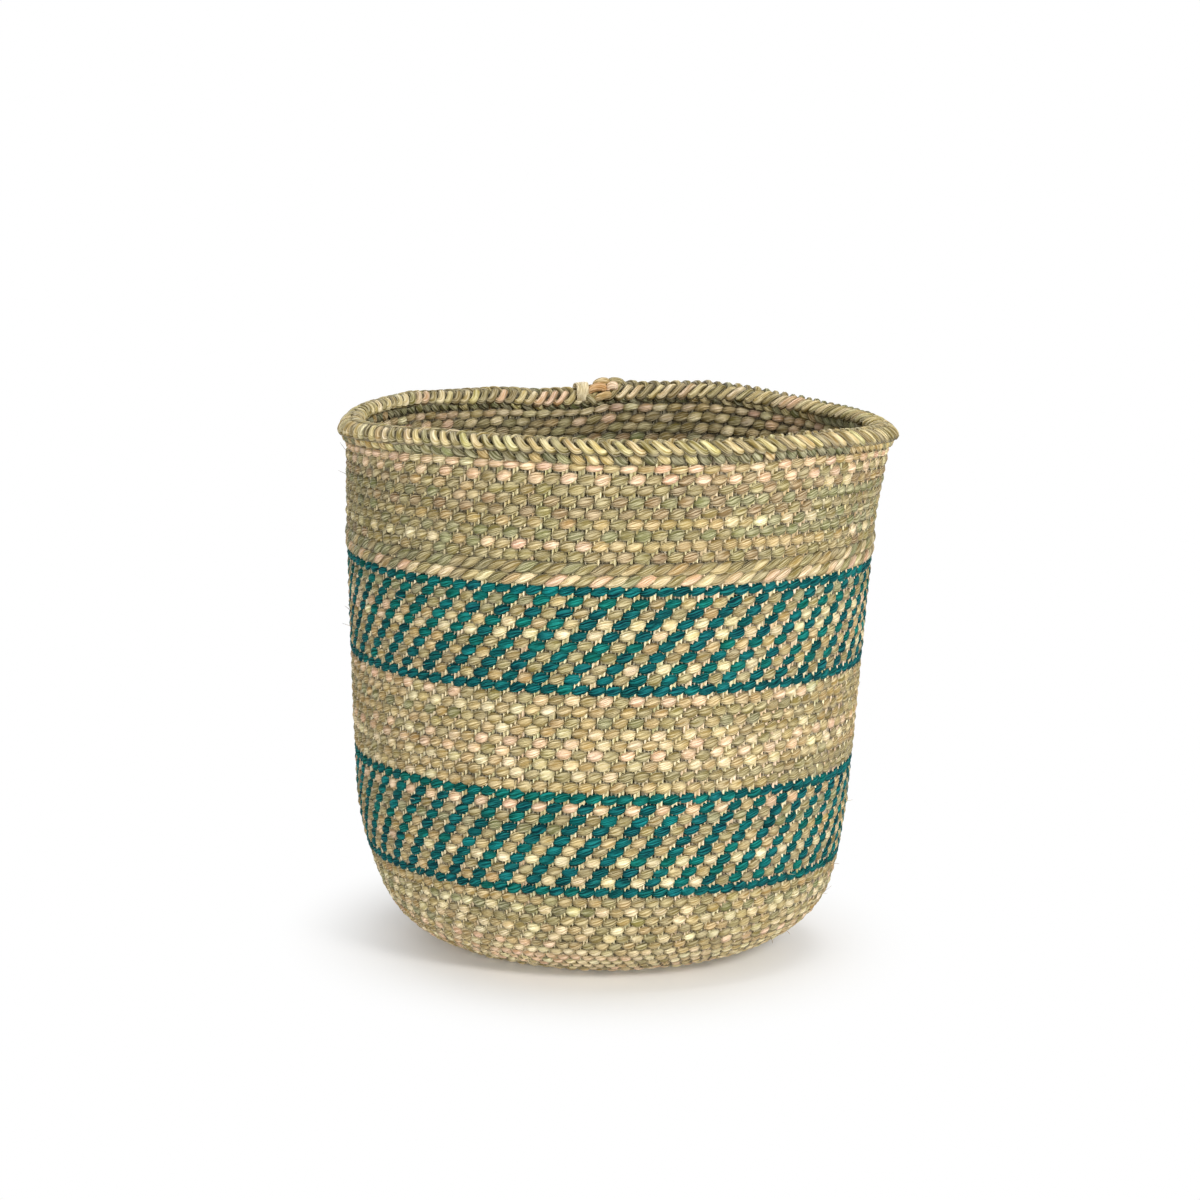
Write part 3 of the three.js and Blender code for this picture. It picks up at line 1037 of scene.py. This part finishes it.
@dataclass(frozen=True)
class PlaitEnd:
    """The short strands in which the plait ends, tucked under and over its beginning."""

    radius: float
    stubs: tuple[Stub, ...] = (
        Stub((-14.8, 4.5, 243.0), (-4.0, 6.0, 243.2), 1.6, 2.2, Dye.AMBER),
        Stub((-11.5, 1.5, 245.6), (-2.5, 2.5, 245.4), 1.2, 2.0, Dye.TAN),
        Stub((-4.6, 4.6, 243.2), (1.6, 5.6, 243.6), 0.7, 2.2, Dye.PINK),
        Stub((-10.5, 7.0, 239.4), (-1.6, 8.2, 240.0), 0.4, 2.0, Dye.AMBER),
        Stub((-14.6, 6.0, 241.6), (-9.4, 7.6, 236.8), 0.6, 1.8, Dye.OLIVE),
        Stub((-5.0, -2.0, 245.0), (4.5, -0.5, 244.6), 1.0, 1.8, Dye.OLIVE),
    )
    steps: int = 16
    sides: int = 10
    bluntness: int = 7
    swell: float = 0.12
    flatness: float = 0.9
    girth: float = 12.0
    spacing: float = 15.0
    margin: float = 0.03
    unevenness: float = 0.05

    def build(self, workshop: Workshop) -> bpy.types.Object:
        """Lays the short strands.

        Args:
            workshop: The workshop.

        Returns:
            The finished piece.
        """
        rng = seed_of("end")
        parts = []
        for row, stub in enumerate(self.stubs):
            sheet = workshop.sheet(self.steps, self.sides, 1)
            points, length = self._points(stub, sheet)
            layer = (row + inset(sheet.around, self.margin)) / len(self.stubs)
            bake = np.stack([inset(sheet.along, BAKE_MARGIN), layer], axis=1)
            weave = np.stack([sheet.along * length, sheet.around * self.girth + self.spacing * row], axis=1)
            tone = stub.dye.linear * (1.0 + self.unevenness * rng.standard_normal((1, 3)))
            colours = np.clip(np.tile(tone, (len(points), 1)), 0.0, LIGHTEST)
            parts.append(workshop.lay(sheet, points, colours, bake, weave))
        return workshop.finish(parts, "rim_plait_end", Slot.RIM, ["rim_plait_end"])

    def _points(self, stub: Stub, sheet: Sheet) -> tuple[Array, float]:
        """Bends a sheet into a short strand with blunt ends.

        Args:
            stub: The strand.
            sheet: Its sheet.

        Returns:
            The place of each vertex, and the strand's length.
        """
        first = np.array(stub.start)
        last = np.array(stub.end)
        length = float(np.linalg.norm(last - first))
        ahead = (last - first) / length
        across = np.cross(ahead, np.array([0.0, 0.0, 1.0]))
        across /= np.linalg.norm(across)
        above = np.cross(across, ahead)
        round_off = np.clip(1.0 - np.abs(2.0 * sheet.along - 1.0) ** self.bluntness, 0.0, 1.0) ** 0.5
        angle = FULL_TURN * sheet.around
        half = stub.half_width * round_off * (1.0 + self.swell * np.sin(math.pi * sheet.along))
        middle = first + ahead * (length * sheet.along)[:, None]
        middle[:, 2] += stub.bow * np.sin(math.pi * sheet.along)
        wide = across * (half * np.cos(angle))[:, None]
        thick = above * (self.flatness * half * np.sin(angle))[:, None]
        right, inward, up = (middle + wide + thick).T
        return at_back(self.radius, right, inward, up), length


@dataclass
class Rim:
    """The plaited rim: three strands in a flat plait on top of the footing, its tie and its finished end."""

    radius: float = 120.55
    height: float = 242.6
    sway: float = 4.3
    lift: float = 1.6
    roll: float = 0.8
    roll_behind: float = 1.5
    roll_aside: float = 1.8
    overhang: float = 1.0
    sink_behind: float = 0.4
    facing_up: float = 0.8
    half_width: float = 1.7
    half_thickness: float = 1.75
    fullness: float = 0.9
    width_chance: float = 0.07
    periods: int = 48
    steps: int = 22
    sides: int = 8
    peak: float = 0.06
    trough: float = 0.9
    even_share: float = 0.72
    late_power: int = 6
    # Painted shade: a strand darkens where it goes under the next loop, where it comes out, and along its
    # edges between neighbouring arms.
    dive_shade: float = 0.6
    dive_start: float = 0.7
    start_shade_tone: float = 0.3
    fade: float = 0.15
    crevice_shade: float = 0.88
    crevice_shade_power: int = 3
    period_length: float = 24.0
    girth: float = 11.0
    spacing: float = 40.0
    back_start: float = -0.3

    STRANDS = 3
    CHANCE_LIMIT = 2.0
    SMALL = 0.012
    NUDGE = 1e-6

    def build(self, workshop: Workshop) -> list[bpy.types.Object]:
        """Plaits the rim.

        Args:
            workshop: The workshop.

        Returns:
            One piece for each strand, the tie and the plait's end.
        """
        strands = [self._strand(workshop, number) for number in range(self.STRANDS)]
        return [*strands, Tie(self.radius).build(workshop), PlaitEnd(self.radius).build(workshop)]

    def _strand(self, workshop: Workshop, number: int) -> bpy.types.Object:
        """Lays one strand of the plait.

        Args:
            workshop: The workshop.
            number: The strand's number, from 0.

        Returns:
            The finished piece.
        """
        rng = seed_of(f"plait{number}")
        sheet = workshop.sheet(self.steps, self.sides, self.periods)
        place = sheet.turn + sheet.along
        loop = 2.0 * (place + number / self.STRANDS)
        index = np.floor(loop + self.NUDGE).astype(int) % (2 * self.periods)
        # Three rows are drawn and one is used, so that the tones drawn after them stay as they are.
        chance = rng.standard_normal((3, 2 * self.periods)).clip(-self.CHANCE_LIMIT, self.CHANCE_LIMIT)
        centre, facing = self._middle(place, number)
        ahead, _ = self._middle(place + self.SMALL, number)
        behind, _ = self._middle(place - self.SMALL, number)
        tangent = unit(ahead - behind)
        flat = unit(np.cross(tangent, facing))
        crown = np.cross(flat, tangent)
        angle = -FULL_TURN * sheet.around
        plump = 1.0 + self.width_chance * chance[0][index]
        width = powered(np.cos(angle), self.fullness) * self.half_width * plump
        thick = powered(np.sin(angle), self.fullness) * self.half_thickness * plump
        points = centre + flat * width[:, None] + crown * thick[:, None]
        bake = np.stack([place / self.periods, inset(sheet.around, BAKE_MARGIN)], axis=1)
        fibres = sheet.around * self.girth + self.spacing * number
        weave = np.stack([place * self.period_length, fibres], axis=1)
        share = loop - np.floor(loop)
        # Painted shade where the strand goes under, where it comes out, and along its edges between arms.
        shade = 1.0 - self.dive_shade * np.clip((share - self.dive_start) / self.fade, 0.0, 1.0)
        shade = shade * (self.start_shade_tone + (1.0 - self.start_shade_tone) * np.clip(share / self.fade, 0.0, 1.0))
        shade = shade * (1.0 - self.crevice_shade * np.abs(np.cos(angle)) ** self.crevice_shade_power)
        colours = self._tones(rng, number)[index] * RIMS.shadow(shade)
        laid = workshop.lay(sheet, points, colours, bake, weave)
        name = f"plait_strand_{number + 1}"
        return workshop.finish([laid], name, Slot.RIM, ["rim_" + name])

    def _middle(self, place: Array, number: int) -> tuple[Array, Array]:
        """Follows the middle of a strand from loop to loop, out and back in.

        Args:
            place: Places along the rim, counted in periods.
            number: The strand's number.

        Returns:
            The middle at each place, and the way the strand's crown faces there.
        """
        loop = 2.0 * (place + number / self.STRANDS)
        share = loop - np.floor(loop)
        swing = self.even_share * share + (1.0 - self.even_share) * share**self.late_power
        outward = np.where(np.floor(loop).astype(int) % 2 == 0, 1.0, -1.0)
        aside = outward * np.sin(math.pi * swing)
        bearing = FULL_TURN * place / self.periods
        ahead = np.cos(bearing)
        radius = self.radius + self.overhang * ahead + self.sway * aside
        fall = (share - self.peak) / (self.trough - self.peak)
        rise = ((share - self.trough) % 1.0) / (1.0 + self.peak - self.trough)
        falling = (share >= self.peak) & (share <= self.trough)
        up = np.where(falling, np.cos(math.pi * fall), -np.cos(math.pi * rise))
        height = self.height - self.sink_behind * (1.0 - ahead) + self.lift * up
        tilt = self.roll - self.roll_behind * ahead - self.roll_aside * (1.0 - ahead * ahead)
        height = height + tilt * aside
        facing = around_axis(bearing, aside, np.full_like(aside, self.facing_up))
        return around_axis(bearing, radius, height), facing

    def _tones(self, rng: np.random.Generator, number: int) -> Array:
        """Draws the colours of a strand's loops: at the back, pale inside the mouth and darker green outside,
        partly the grass's own tones and partly painted shade.

        Args:
            rng: The strand's source of chance.
            number: The strand's number.

        Returns:
            Linear colours, one row for each loop.
        """
        loops = 2 * self.periods
        order = np.arange(loops)
        outer = (order % 2 == 0)[:, None]
        turned = math.pi * (order - 2.0 * number / self.STRANDS) / self.periods
        behind = (np.cos(turned) < self.back_start)[:, None]
        back = np.where(outer, SHADED_GREEN_RIMS.draw(rng, loops), PALE_RIMS.draw(rng, loops))
        return np.where(behind, back, RIMS.draw(rng, loops))


@dataclass
class Whiskers:
    """Loose fibre ends that stand out of the wall, thin and short, with a few longer ones."""

    wall: Wall
    count: int = 170
    shortest: float = 2.5
    longest: float = 9.0
    rarity: float = 2.0
    half_width: float = 0.21
    taper: float = 0.6
    run_low: float = 95.0
    run_high: float = 322.0
    heading: tuple[float, float] = (-0.6, 2.6)
    stand: tuple[float, float] = (0.3, 0.85)
    curl: tuple[float, float] = (-0.8, 0.8)
    root: float = 0.6
    skew: float = 1.0
    steps: int = 4
    sides: int = 3
    spacing: float = 3.0
    margin: float = 0.1

    def build(self, workshop: Workshop) -> bpy.types.Object:
        """Sets the fibres in the wall.

        Args:
            workshop: The workshop.

        Returns:
            The finished piece.
        """
        rng = seed_of("whiskers")
        sheet = workshop.sheet(self.steps, self.sides, self.count)
        bearing = rng.uniform(0.0, FULL_TURN, self.count)
        run = rng.uniform(self.run_low, self.run_high, self.count)
        chance = rng.uniform(0.0, 1.0, self.count) ** self.rarity
        length = self.shortest + (self.longest - self.shortest) * chance
        heading = rng.uniform(*self.heading, self.count)
        stand = rng.uniform(*self.stand, self.count)
        curl = rng.uniform(*self.curl, self.count)
        turn = sheet.turn
        angle = FULL_TURN * sheet.around
        half = self.half_width * (1.0 - self.taper * sheet.along)
        reach = length[turn] * sheet.along
        aim = heading[turn] + curl[turn] * sheet.along
        aside = reach * np.cos(aim) * (1.0 - stand[turn]) + half * np.cos(angle)
        above = reach * np.sin(aim) * (1.0 - stand[turn]) + half * np.sin(angle)
        outward = reach * stand[turn] + half * np.sin(angle + self.skew)
        middle, _ = self.wall.point(run, np.zeros(self.count))
        radius, height = self.wall.point(run[turn] + above, self.root - outward)
        points = around_axis(bearing[turn] + aside / middle[turn], radius, height)
        column = (turn + inset(sheet.along, self.margin)) / self.count
        bake = np.stack([column, inset(sheet.around, BAKE_MARGIN)], axis=1)
        weave = np.stack([reach, sheet.around + self.spacing * turn], axis=1)
        colours = WHISKERS.draw(rng, self.count)[turn]
        laid = workshop.lay(sheet, points, colours, bake, weave)
        return workshop.finish([laid], "whiskers", Slot.NATURAL)


@dataclass(frozen=True)
class View:
    """The photograph's view, worked out from the basket's outline; the picture is 1200 pixels wide."""

    distance: float = 1777.0
    height: float = 444.2
    pitch: float = math.radians(9.178)
    roll: float = math.radians(1.43)
    focal_pixels: float = 3925.4
    shift_pixels: float = 6.75
    sensor: float = 36.0
    nearest: float = 0.01

    def build(self) -> bpy.types.Object:
        """Places the camera and makes it the scene's own.

        Returns:
            The camera.
        """
        bpy.ops.object.select_all(action="DESELECT")
        bpy.ops.object.camera_add(location=(0.0, -self.distance * METRES, self.height * METRES))
        camera = bpy.context.object
        camera.data.sensor_width = self.sensor
        camera.data.lens = self.focal_pixels / PHOTO_PIXELS * self.sensor
        camera.data.shift_x = -self.shift_pixels / PHOTO_PIXELS
        camera.data.clip_start = self.nearest
        tilt = Quaternion((1.0, 0.0, 0.0), math.pi / 2.0 - self.pitch)
        camera.rotation_mode = "QUATERNION"
        camera.rotation_quaternion = tilt @ Quaternion((0.0, 0.0, 1.0), self.roll)
        bpy.context.scene.camera = camera
        return camera


@dataclass(frozen=True)
class Lamp:
    """A soft square lamp that looks at the basket."""

    name: str
    place: tuple[float, float, float]
    side: float
    power: float
    aim: tuple[float, float, float] = (0.0, 0.0, 0.11)

    def build(self) -> bpy.types.Object:
        """Hangs the lamp.

        Returns:
            The lamp.
        """
        bpy.ops.object.select_all(action="DESELECT")
        bpy.ops.object.light_add(type="AREA", location=self.place)
        lamp = bpy.context.object
        lamp.name = self.name
        lamp.data.size = self.side
        lamp.data.energy = self.power
        lamp.rotation_mode = "QUATERNION"
        lamp.rotation_quaternion = (Vector(self.aim) - Vector(self.place)).to_track_quat("-Z", "Y")
        return lamp


@dataclass(frozen=True)
class Studio:
    """A white studio: a pale floor that keeps the shadow, and soft lamps, the strongest on the right."""

    surround: float = 0.1
    bounce: float = 0.35
    floor_size: float = 12.0
    floor_height: float = -0.0004
    floor_tone: tuple[float, float, float] = (0.87, 0.855, 0.825)
    shadow_squeeze: float = 1.25
    floor_glow: float = 0.05
    shadow_start: float = 0.075
    shadow_reach: float = 0.19
    lamps: tuple[Lamp, ...] = (
        Lamp("key", (1.0, -1.3, 1.0), 0.5, 22.5),
        Lamp("fill", (-1.2, -1.3, 0.5), 1.2, 13.0),
        Lamp("low", (0.3, -1.5, 0.15), 0.7, 20.0, (0.0, 0.0, 0.05)),
        Lamp("top", (0.15, 0.1, 1.6), 0.9, 13.5, (0.0, 0.0, 0.0)),
        Lamp("back", (-0.5, 1.6, 0.7), 1.2, 11.0),
    )

    def build(self) -> None:
        """Builds the floor, the lamps and the world."""
        for lamp in self.lamps:
            lamp.build()
        self._floor()
        self._world()
        bpy.context.scene.view_settings.view_transform = "Standard"

    def _floor(self) -> None:
        """Lays a floor that turns to plain white away from the basket."""
        bpy.ops.object.select_all(action="DESELECT")
        bpy.ops.mesh.primitive_plane_add(size=self.floor_size, location=(0.0, 0.0, self.floor_height))
        floor = bpy.context.object
        bpy.ops.object.transform_apply(location=True, rotation=False, scale=False)
        floor.name = "floor"
        material = bpy.data.materials.new("floor")
        material.use_nodes = True
        graph = Graph(material.node_tree)
        place = graph.node("ShaderNodeTexCoord", output="Object")
        place = graph.scale(place, (self.shadow_squeeze, 1.0, 1.0))
        far = graph.node("ShaderNodeVectorMath", {"operation": "LENGTH"}, {0: place}, output="Value")
        white = graph.node(
            "ShaderNodeMapRange",
            {"interpolation_type": "SMOOTHSTEP"},
            {0: far, 1: self.shadow_start, 2: self.shadow_reach, 3: self.floor_glow, 4: 1.0},
        )
        matt = graph.node("ShaderNodeBsdfDiffuse", None, {"Color": (*self.floor_tone, 1.0)})
        glow = graph.node("ShaderNodeEmission", None, {"Color": WHITE, "Strength": 1.0})
        seen = self._seen(graph)
        share = white * seen + self.bounce * (1.0 - seen)
        surface = graph.node("ShaderNodeMixShader", None, {0: share, 1: matt, 2: glow})
        graph.node("ShaderNodeOutputMaterial", None, {"Surface": surface})
        floor.data.materials.append(material)

    def _seen(self, graph: Graph) -> Link:
        """Tells rays that show the studio itself from those that light it.

        Args:
            graph: The graph that asks.

        Returns:
            1 on rays from the camera, a mirror-like or a clear surface, and 0 on others.
        """
        camera = graph.node("ShaderNodeLightPath", output="Is Camera Ray")
        glossy = graph.node("ShaderNodeLightPath", output="Is Glossy Ray")
        through = graph.node("ShaderNodeLightPath", output="Is Transmission Ray")
        clamped = {"operation": "ADD", "use_clamp": True}
        return graph.node("ShaderNodeMath", clamped, {0: camera + glossy, 1: through})

    def _world(self) -> None:
        """Makes the surroundings white to the camera and a soft pale grey to the basket."""
        world = bpy.data.worlds.new("studio")
        bpy.context.scene.world = world
        world.use_nodes = True
        graph = Graph(world.node_tree)
        seen = self._seen(graph)
        strength = seen * (1.0 - self.surround) + self.surround
        surface = graph.node("ShaderNodeBackground", None, {"Color": WHITE, "Strength": strength})
        graph.node("ShaderNodeOutputWorld", None, {"Surface": surface})


BASE_STITCH = Stitch(half_thickness=1.6, reach=1.7)
START_STITCH = replace(BASE_STITCH, reach=1.65)
HEEL_STITCH = replace(BASE_STITCH, reach=1.9)
TEAL_STITCH = Stitch(half_height=2.45, taper=0.7, outside_bias=0.06)
PLUMP_STITCH = Stitch(half_height=2.6, outside_bias=-0.08)
EDGE_STITCH = Stitch(half_height=2.35, taper=0.7, outside_bias=-0.03)
LAST_STITCH = Stitch(half_height=2.2, climb=0.5, outside_bias=0.0)
WALE_STITCH = Stitch(
    half_height=2.5,
    half_thickness=2.0,
    crossing_height=0.3,
    reach=2.2,
    climb=1.9,
    squareness=2.0,
    outside_bias=0.38,
    taper=1.35,
    seam=0.7,
    seam_shade_power=2.5,
)
FOOTING_STITCH = Stitch(
    half_height=2.5,
    half_thickness=1.8,
    crossing_height=0.5,
    middle_depth=2.6,
    reach=2.9,
    climb=-1.7,
    taper=0.8,
)

# The two strands of each undyed course, and the undyed strand of each twill course, from the lowest up.
BASE_ROWS = ((PALE, DUSKY), (SANDY, DUSKY), (PALE, EARTHY), (SANDY, EARTHY))
# The heel's courses are pale: partly the grass's own tones, partly painted light from the floor on the lowest
# rows.
HEEL_ROWS = ((PALE, PALE), (PALE, SANDY), (PALE, ROSY), (PALE, SANDY))
LOWER_ROWS = (
    (SANDY, PALE),
    (ROSY, EARTHY),
    (PALE, DUSKY),
    (SANDY, EARTHY),
    (PALE, DUSKY),
    (PALE, DUSKY),
    (EARTHY, EARTHY),
)
LOWER_BAND_ROWS = (SANDY, EARTHY, PALE, EARTHY, EARTHY, DUSKY, DUSKY, ROSY)
MIDDLE_ROWS = ((SANDY, EARTHY), (SANDY, DUSKY), (EARTHY, SANDY), (ROSY, EARTHY), (PALE, SANDY))
UPPER_BAND_ROWS = (EARTHY, SANDY, EARTHY, EARTHY, PALE, PALE, DUSKY, DUSKY)
UPPER_ROWS = (
    (DUSKY, MUTED),
    (ROSY, DUSKY),
    (DUSKY, MUTED),
    (EARTHY, DUSKY),
    (DUSKY, MUTED),
    (MUTED, DUSKY),
    (EARTHY, MUTED),
    (ROSY, MUTED),
    (PALE, ROSY),
)


@dataclass
class Basket:
    """The whole basket: base, wall, bands, wales and rim, from the base upwards.

    Turns are the twines in one course. Courses of the wall are counted from the heel's first one, and the
    numbers upper_band_first and upper_first set where the stitches of those two zones fall.
    """

    wall: Wall = field(default_factory=Wall)
    hand: Hand = field(default_factory=Hand)
    bundles: int = 16
    pitch: float = 4.83
    base_pitch: float = 4.5
    wale_pitch: float = 5.15
    footing_pitch: float = 5.4
    turns: int = 52
    start_turns: tuple[int, ...] = (3, 3, 8, 8, 16, 16, 16, 16)
    base_turns: tuple[int, ...] = (30, 30, 30, 30, 30)
    heel_turns: tuple[int, ...] = (39, 39, 39, 52, 52, 52, 52)
    wale_turns: int = 38
    footing_turns: int = 63
    band_edges: int = 2
    lower_courses: int = 7
    middle_courses: int = 9
    upper_courses: int = 9
    upper_band_first: int = 35
    upper_first: int = 43
    start_run: float = 1.4
    footing_sink: float = 0.5

    def build(self) -> None:
        """Weaves every piece."""
        workshop = Workshop(self.hand)
        weave = Weave(workshop, self.wall)
        bundles = [f"stake_bundle_{number:02d}" for number in range(1, self.bundles + 1)]
        Stakes(self.wall).build(workshop, [*bundles, "base_start_stakes"])
        for zone in self.zones():
            zone.build(weave)
        Rim().build(workshop)
        Whiskers(self.wall).build(workshop)

    def course_run(self, course: int) -> float:
        """Gives where a course starts on the wall, in millimetres from the middle of the base."""
        return self.wall.base_flat + course * self.pitch

    def natural(
        self,
        name: str,
        run: float,
        periods: tuple[int, ...],
        first: int,
        rows: Sequence[tuple[Palette, Palette]],
    ) -> Zone:
        """Describes a zone of undyed grass.

        Args:
            name: The zone's CAD node.
            run: Where the zone starts on the wall.
            periods: Twines of each course.
            first: The number of its first course, which sets where its stitches fall.
            rows: A pair of palettes for each course, repeated as needed.

        Returns:
            The zone.
        """
        first_strand = StrandSpec("strand_a", 0.0, tuple(row[0] for row in rows), Slot.NATURAL, (name,))
        second_strand = StrandSpec("strand_b", 0.5, tuple(row[1] for row in rows), Slot.NATURAL)
        return Zone(name, run, self.pitch, periods, (first_strand, second_strand), first)

    def band(self, name: str, run: float, first: int, rows: tuple[Palette, ...]) -> list[Zone]:
        """Describes a teal band: a full course, courses of teal twined with natural, and a full course.

        Args:
            name: The band's name, which starts its CAD nodes' names.
            run: Where the band starts on the wall.
            first: The number of its first course.
            rows: The undyed strand's colours in each course between the two edges.

        Returns:
            The band's three zones.
        """
        courses = len(rows)
        twill = (
            StrandSpec("teal", 0.0, (TEALS,), Slot.TEAL, (name + "_twill",), TEAL_STITCH),
            StrandSpec("natural", 0.5, rows, Slot.NATURAL, (), PLUMP_STITCH),
        )
        periods = (self.turns,) * courses
        zones = [Zone(name + "_twill", run + self.pitch, self.pitch, periods, twill, first + 1)]
        last = courses + 1
        edges = {
            "_bottom_edge": (run, first),
            "_top_edge": (run + last * self.pitch, first + last),
        }
        for edge, (start, number) in edges.items():
            pair = (
                StrandSpec("a", 0.0, (TEALS,), Slot.TEAL, (name + edge,)),
                StrandSpec("b", 0.5, (TEALS,), Slot.TEAL),
            )
            zones.append(
                Zone(name + edge, start, self.pitch, (self.turns,), pair, number, EDGE_STITCH, together=True)
            )
        return zones

    def wale(self, name: str, run: float, palettes: Sequence[Palette]) -> Zone:
        """Describes a wale: three strands that overlap like a rope.

        Args:
            name: The wale's CAD node.
            run: Where it starts on the wall.
            palettes: The colours of its three strands.

        Returns:
            The zone.
        """
        specs = tuple(
            StrandSpec("abc"[number], number / len(palettes), (palette,), Slot.NATURAL, (name,))
            for number, palette in enumerate(palettes)
        )
        return Zone(name, run, self.wale_pitch, (self.wale_turns,), specs, 0, WALE_STITCH, together=True)

    def zones(self) -> list[Zone]:
        """Lists every zone from the base upwards.

        Returns:
            The zones, in the order in which they are woven.
        """
        lower = len(self.heel_turns)
        lower_band = lower + self.lower_courses
        middle = lower_band + len(LOWER_BAND_ROWS) + self.band_edges
        upper_band = middle + self.middle_courses
        base_run = self.course_run(0) - len(self.base_turns) * self.base_pitch
        lower_wale_run = self.course_run(upper_band + len(UPPER_BAND_ROWS) + self.band_edges)
        upper_wale_run = lower_wale_run + self.wale_pitch
        upper_run = upper_wale_run + self.wale_pitch
        footing_run = upper_run + self.upper_courses * self.pitch - self.footing_sink
        lower_turns = (self.turns,) * self.lower_courses
        middle_turns = (self.turns,) * self.middle_courses
        upper_turns = (self.turns,) * self.upper_courses
        centre = (
            StrandSpec("strand_a", 0.0, (PALE, EARTHY), Slot.NATURAL, ("base_start_underside",)),
            StrandSpec("strand_b", 0.5, (DUSKY, EARTHY), Slot.NATURAL, ("base_start_inside",)),
        )
        mossy = (
            StrandSpec("a", 0.0, (MOSSES,), Slot.RIM, ("rim_footing",)),
            StrandSpec("b", 0.5, (MOSSES,), Slot.RIM),
        )
        base = self.natural("base_weft", base_run, self.base_turns, 0, BASE_ROWS)
        heel = self.natural("heel_weft", self.course_run(0), self.heel_turns, 0, HEEL_ROWS)
        upper = self.natural("upper_natural_weft", upper_run, upper_turns, self.upper_first, UPPER_ROWS)
        footing = Zone("rim_footing", footing_run, self.footing_pitch, (self.footing_turns,), mossy)
        return [
            Zone("base_start", self.start_run, self.pitch, self.start_turns, centre, stitch=START_STITCH),
            replace(base, pitch=self.base_pitch, stitch=BASE_STITCH),
            replace(heel, stitch=HEEL_STITCH),
            self.natural("lower_natural_weft", self.course_run(lower), lower_turns, lower, LOWER_ROWS),
            *self.band("lower_band", self.course_run(lower_band), lower_band, LOWER_BAND_ROWS),
            self.natural("middle_natural_weft", self.course_run(middle), middle_turns, middle, MIDDLE_ROWS),
            *self.band("upper_band", self.course_run(upper_band), self.upper_band_first, UPPER_BAND_ROWS),
            self.wale("lower_wale", lower_wale_run, (PALE, DUSKY, ROSY)),
            self.wale("upper_wale", upper_wale_run, (DUSKY, EARTHY, DUSKY)),
            replace(upper, last_stitch=LAST_STITCH),
            replace(footing, stitch=FOOTING_STITCH, together=True),
        ]


def main() -> None:
    """Loads the frame, weaves the basket in it and lights it."""
    logging.basicConfig(level=logging.INFO, format="%(name)s: %(message)s")
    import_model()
    bpy.ops.object.select_all(action="DESELECT")
    View().build()
    Studio().build()
    Basket().build()


if __name__ == "__main__":
    main()
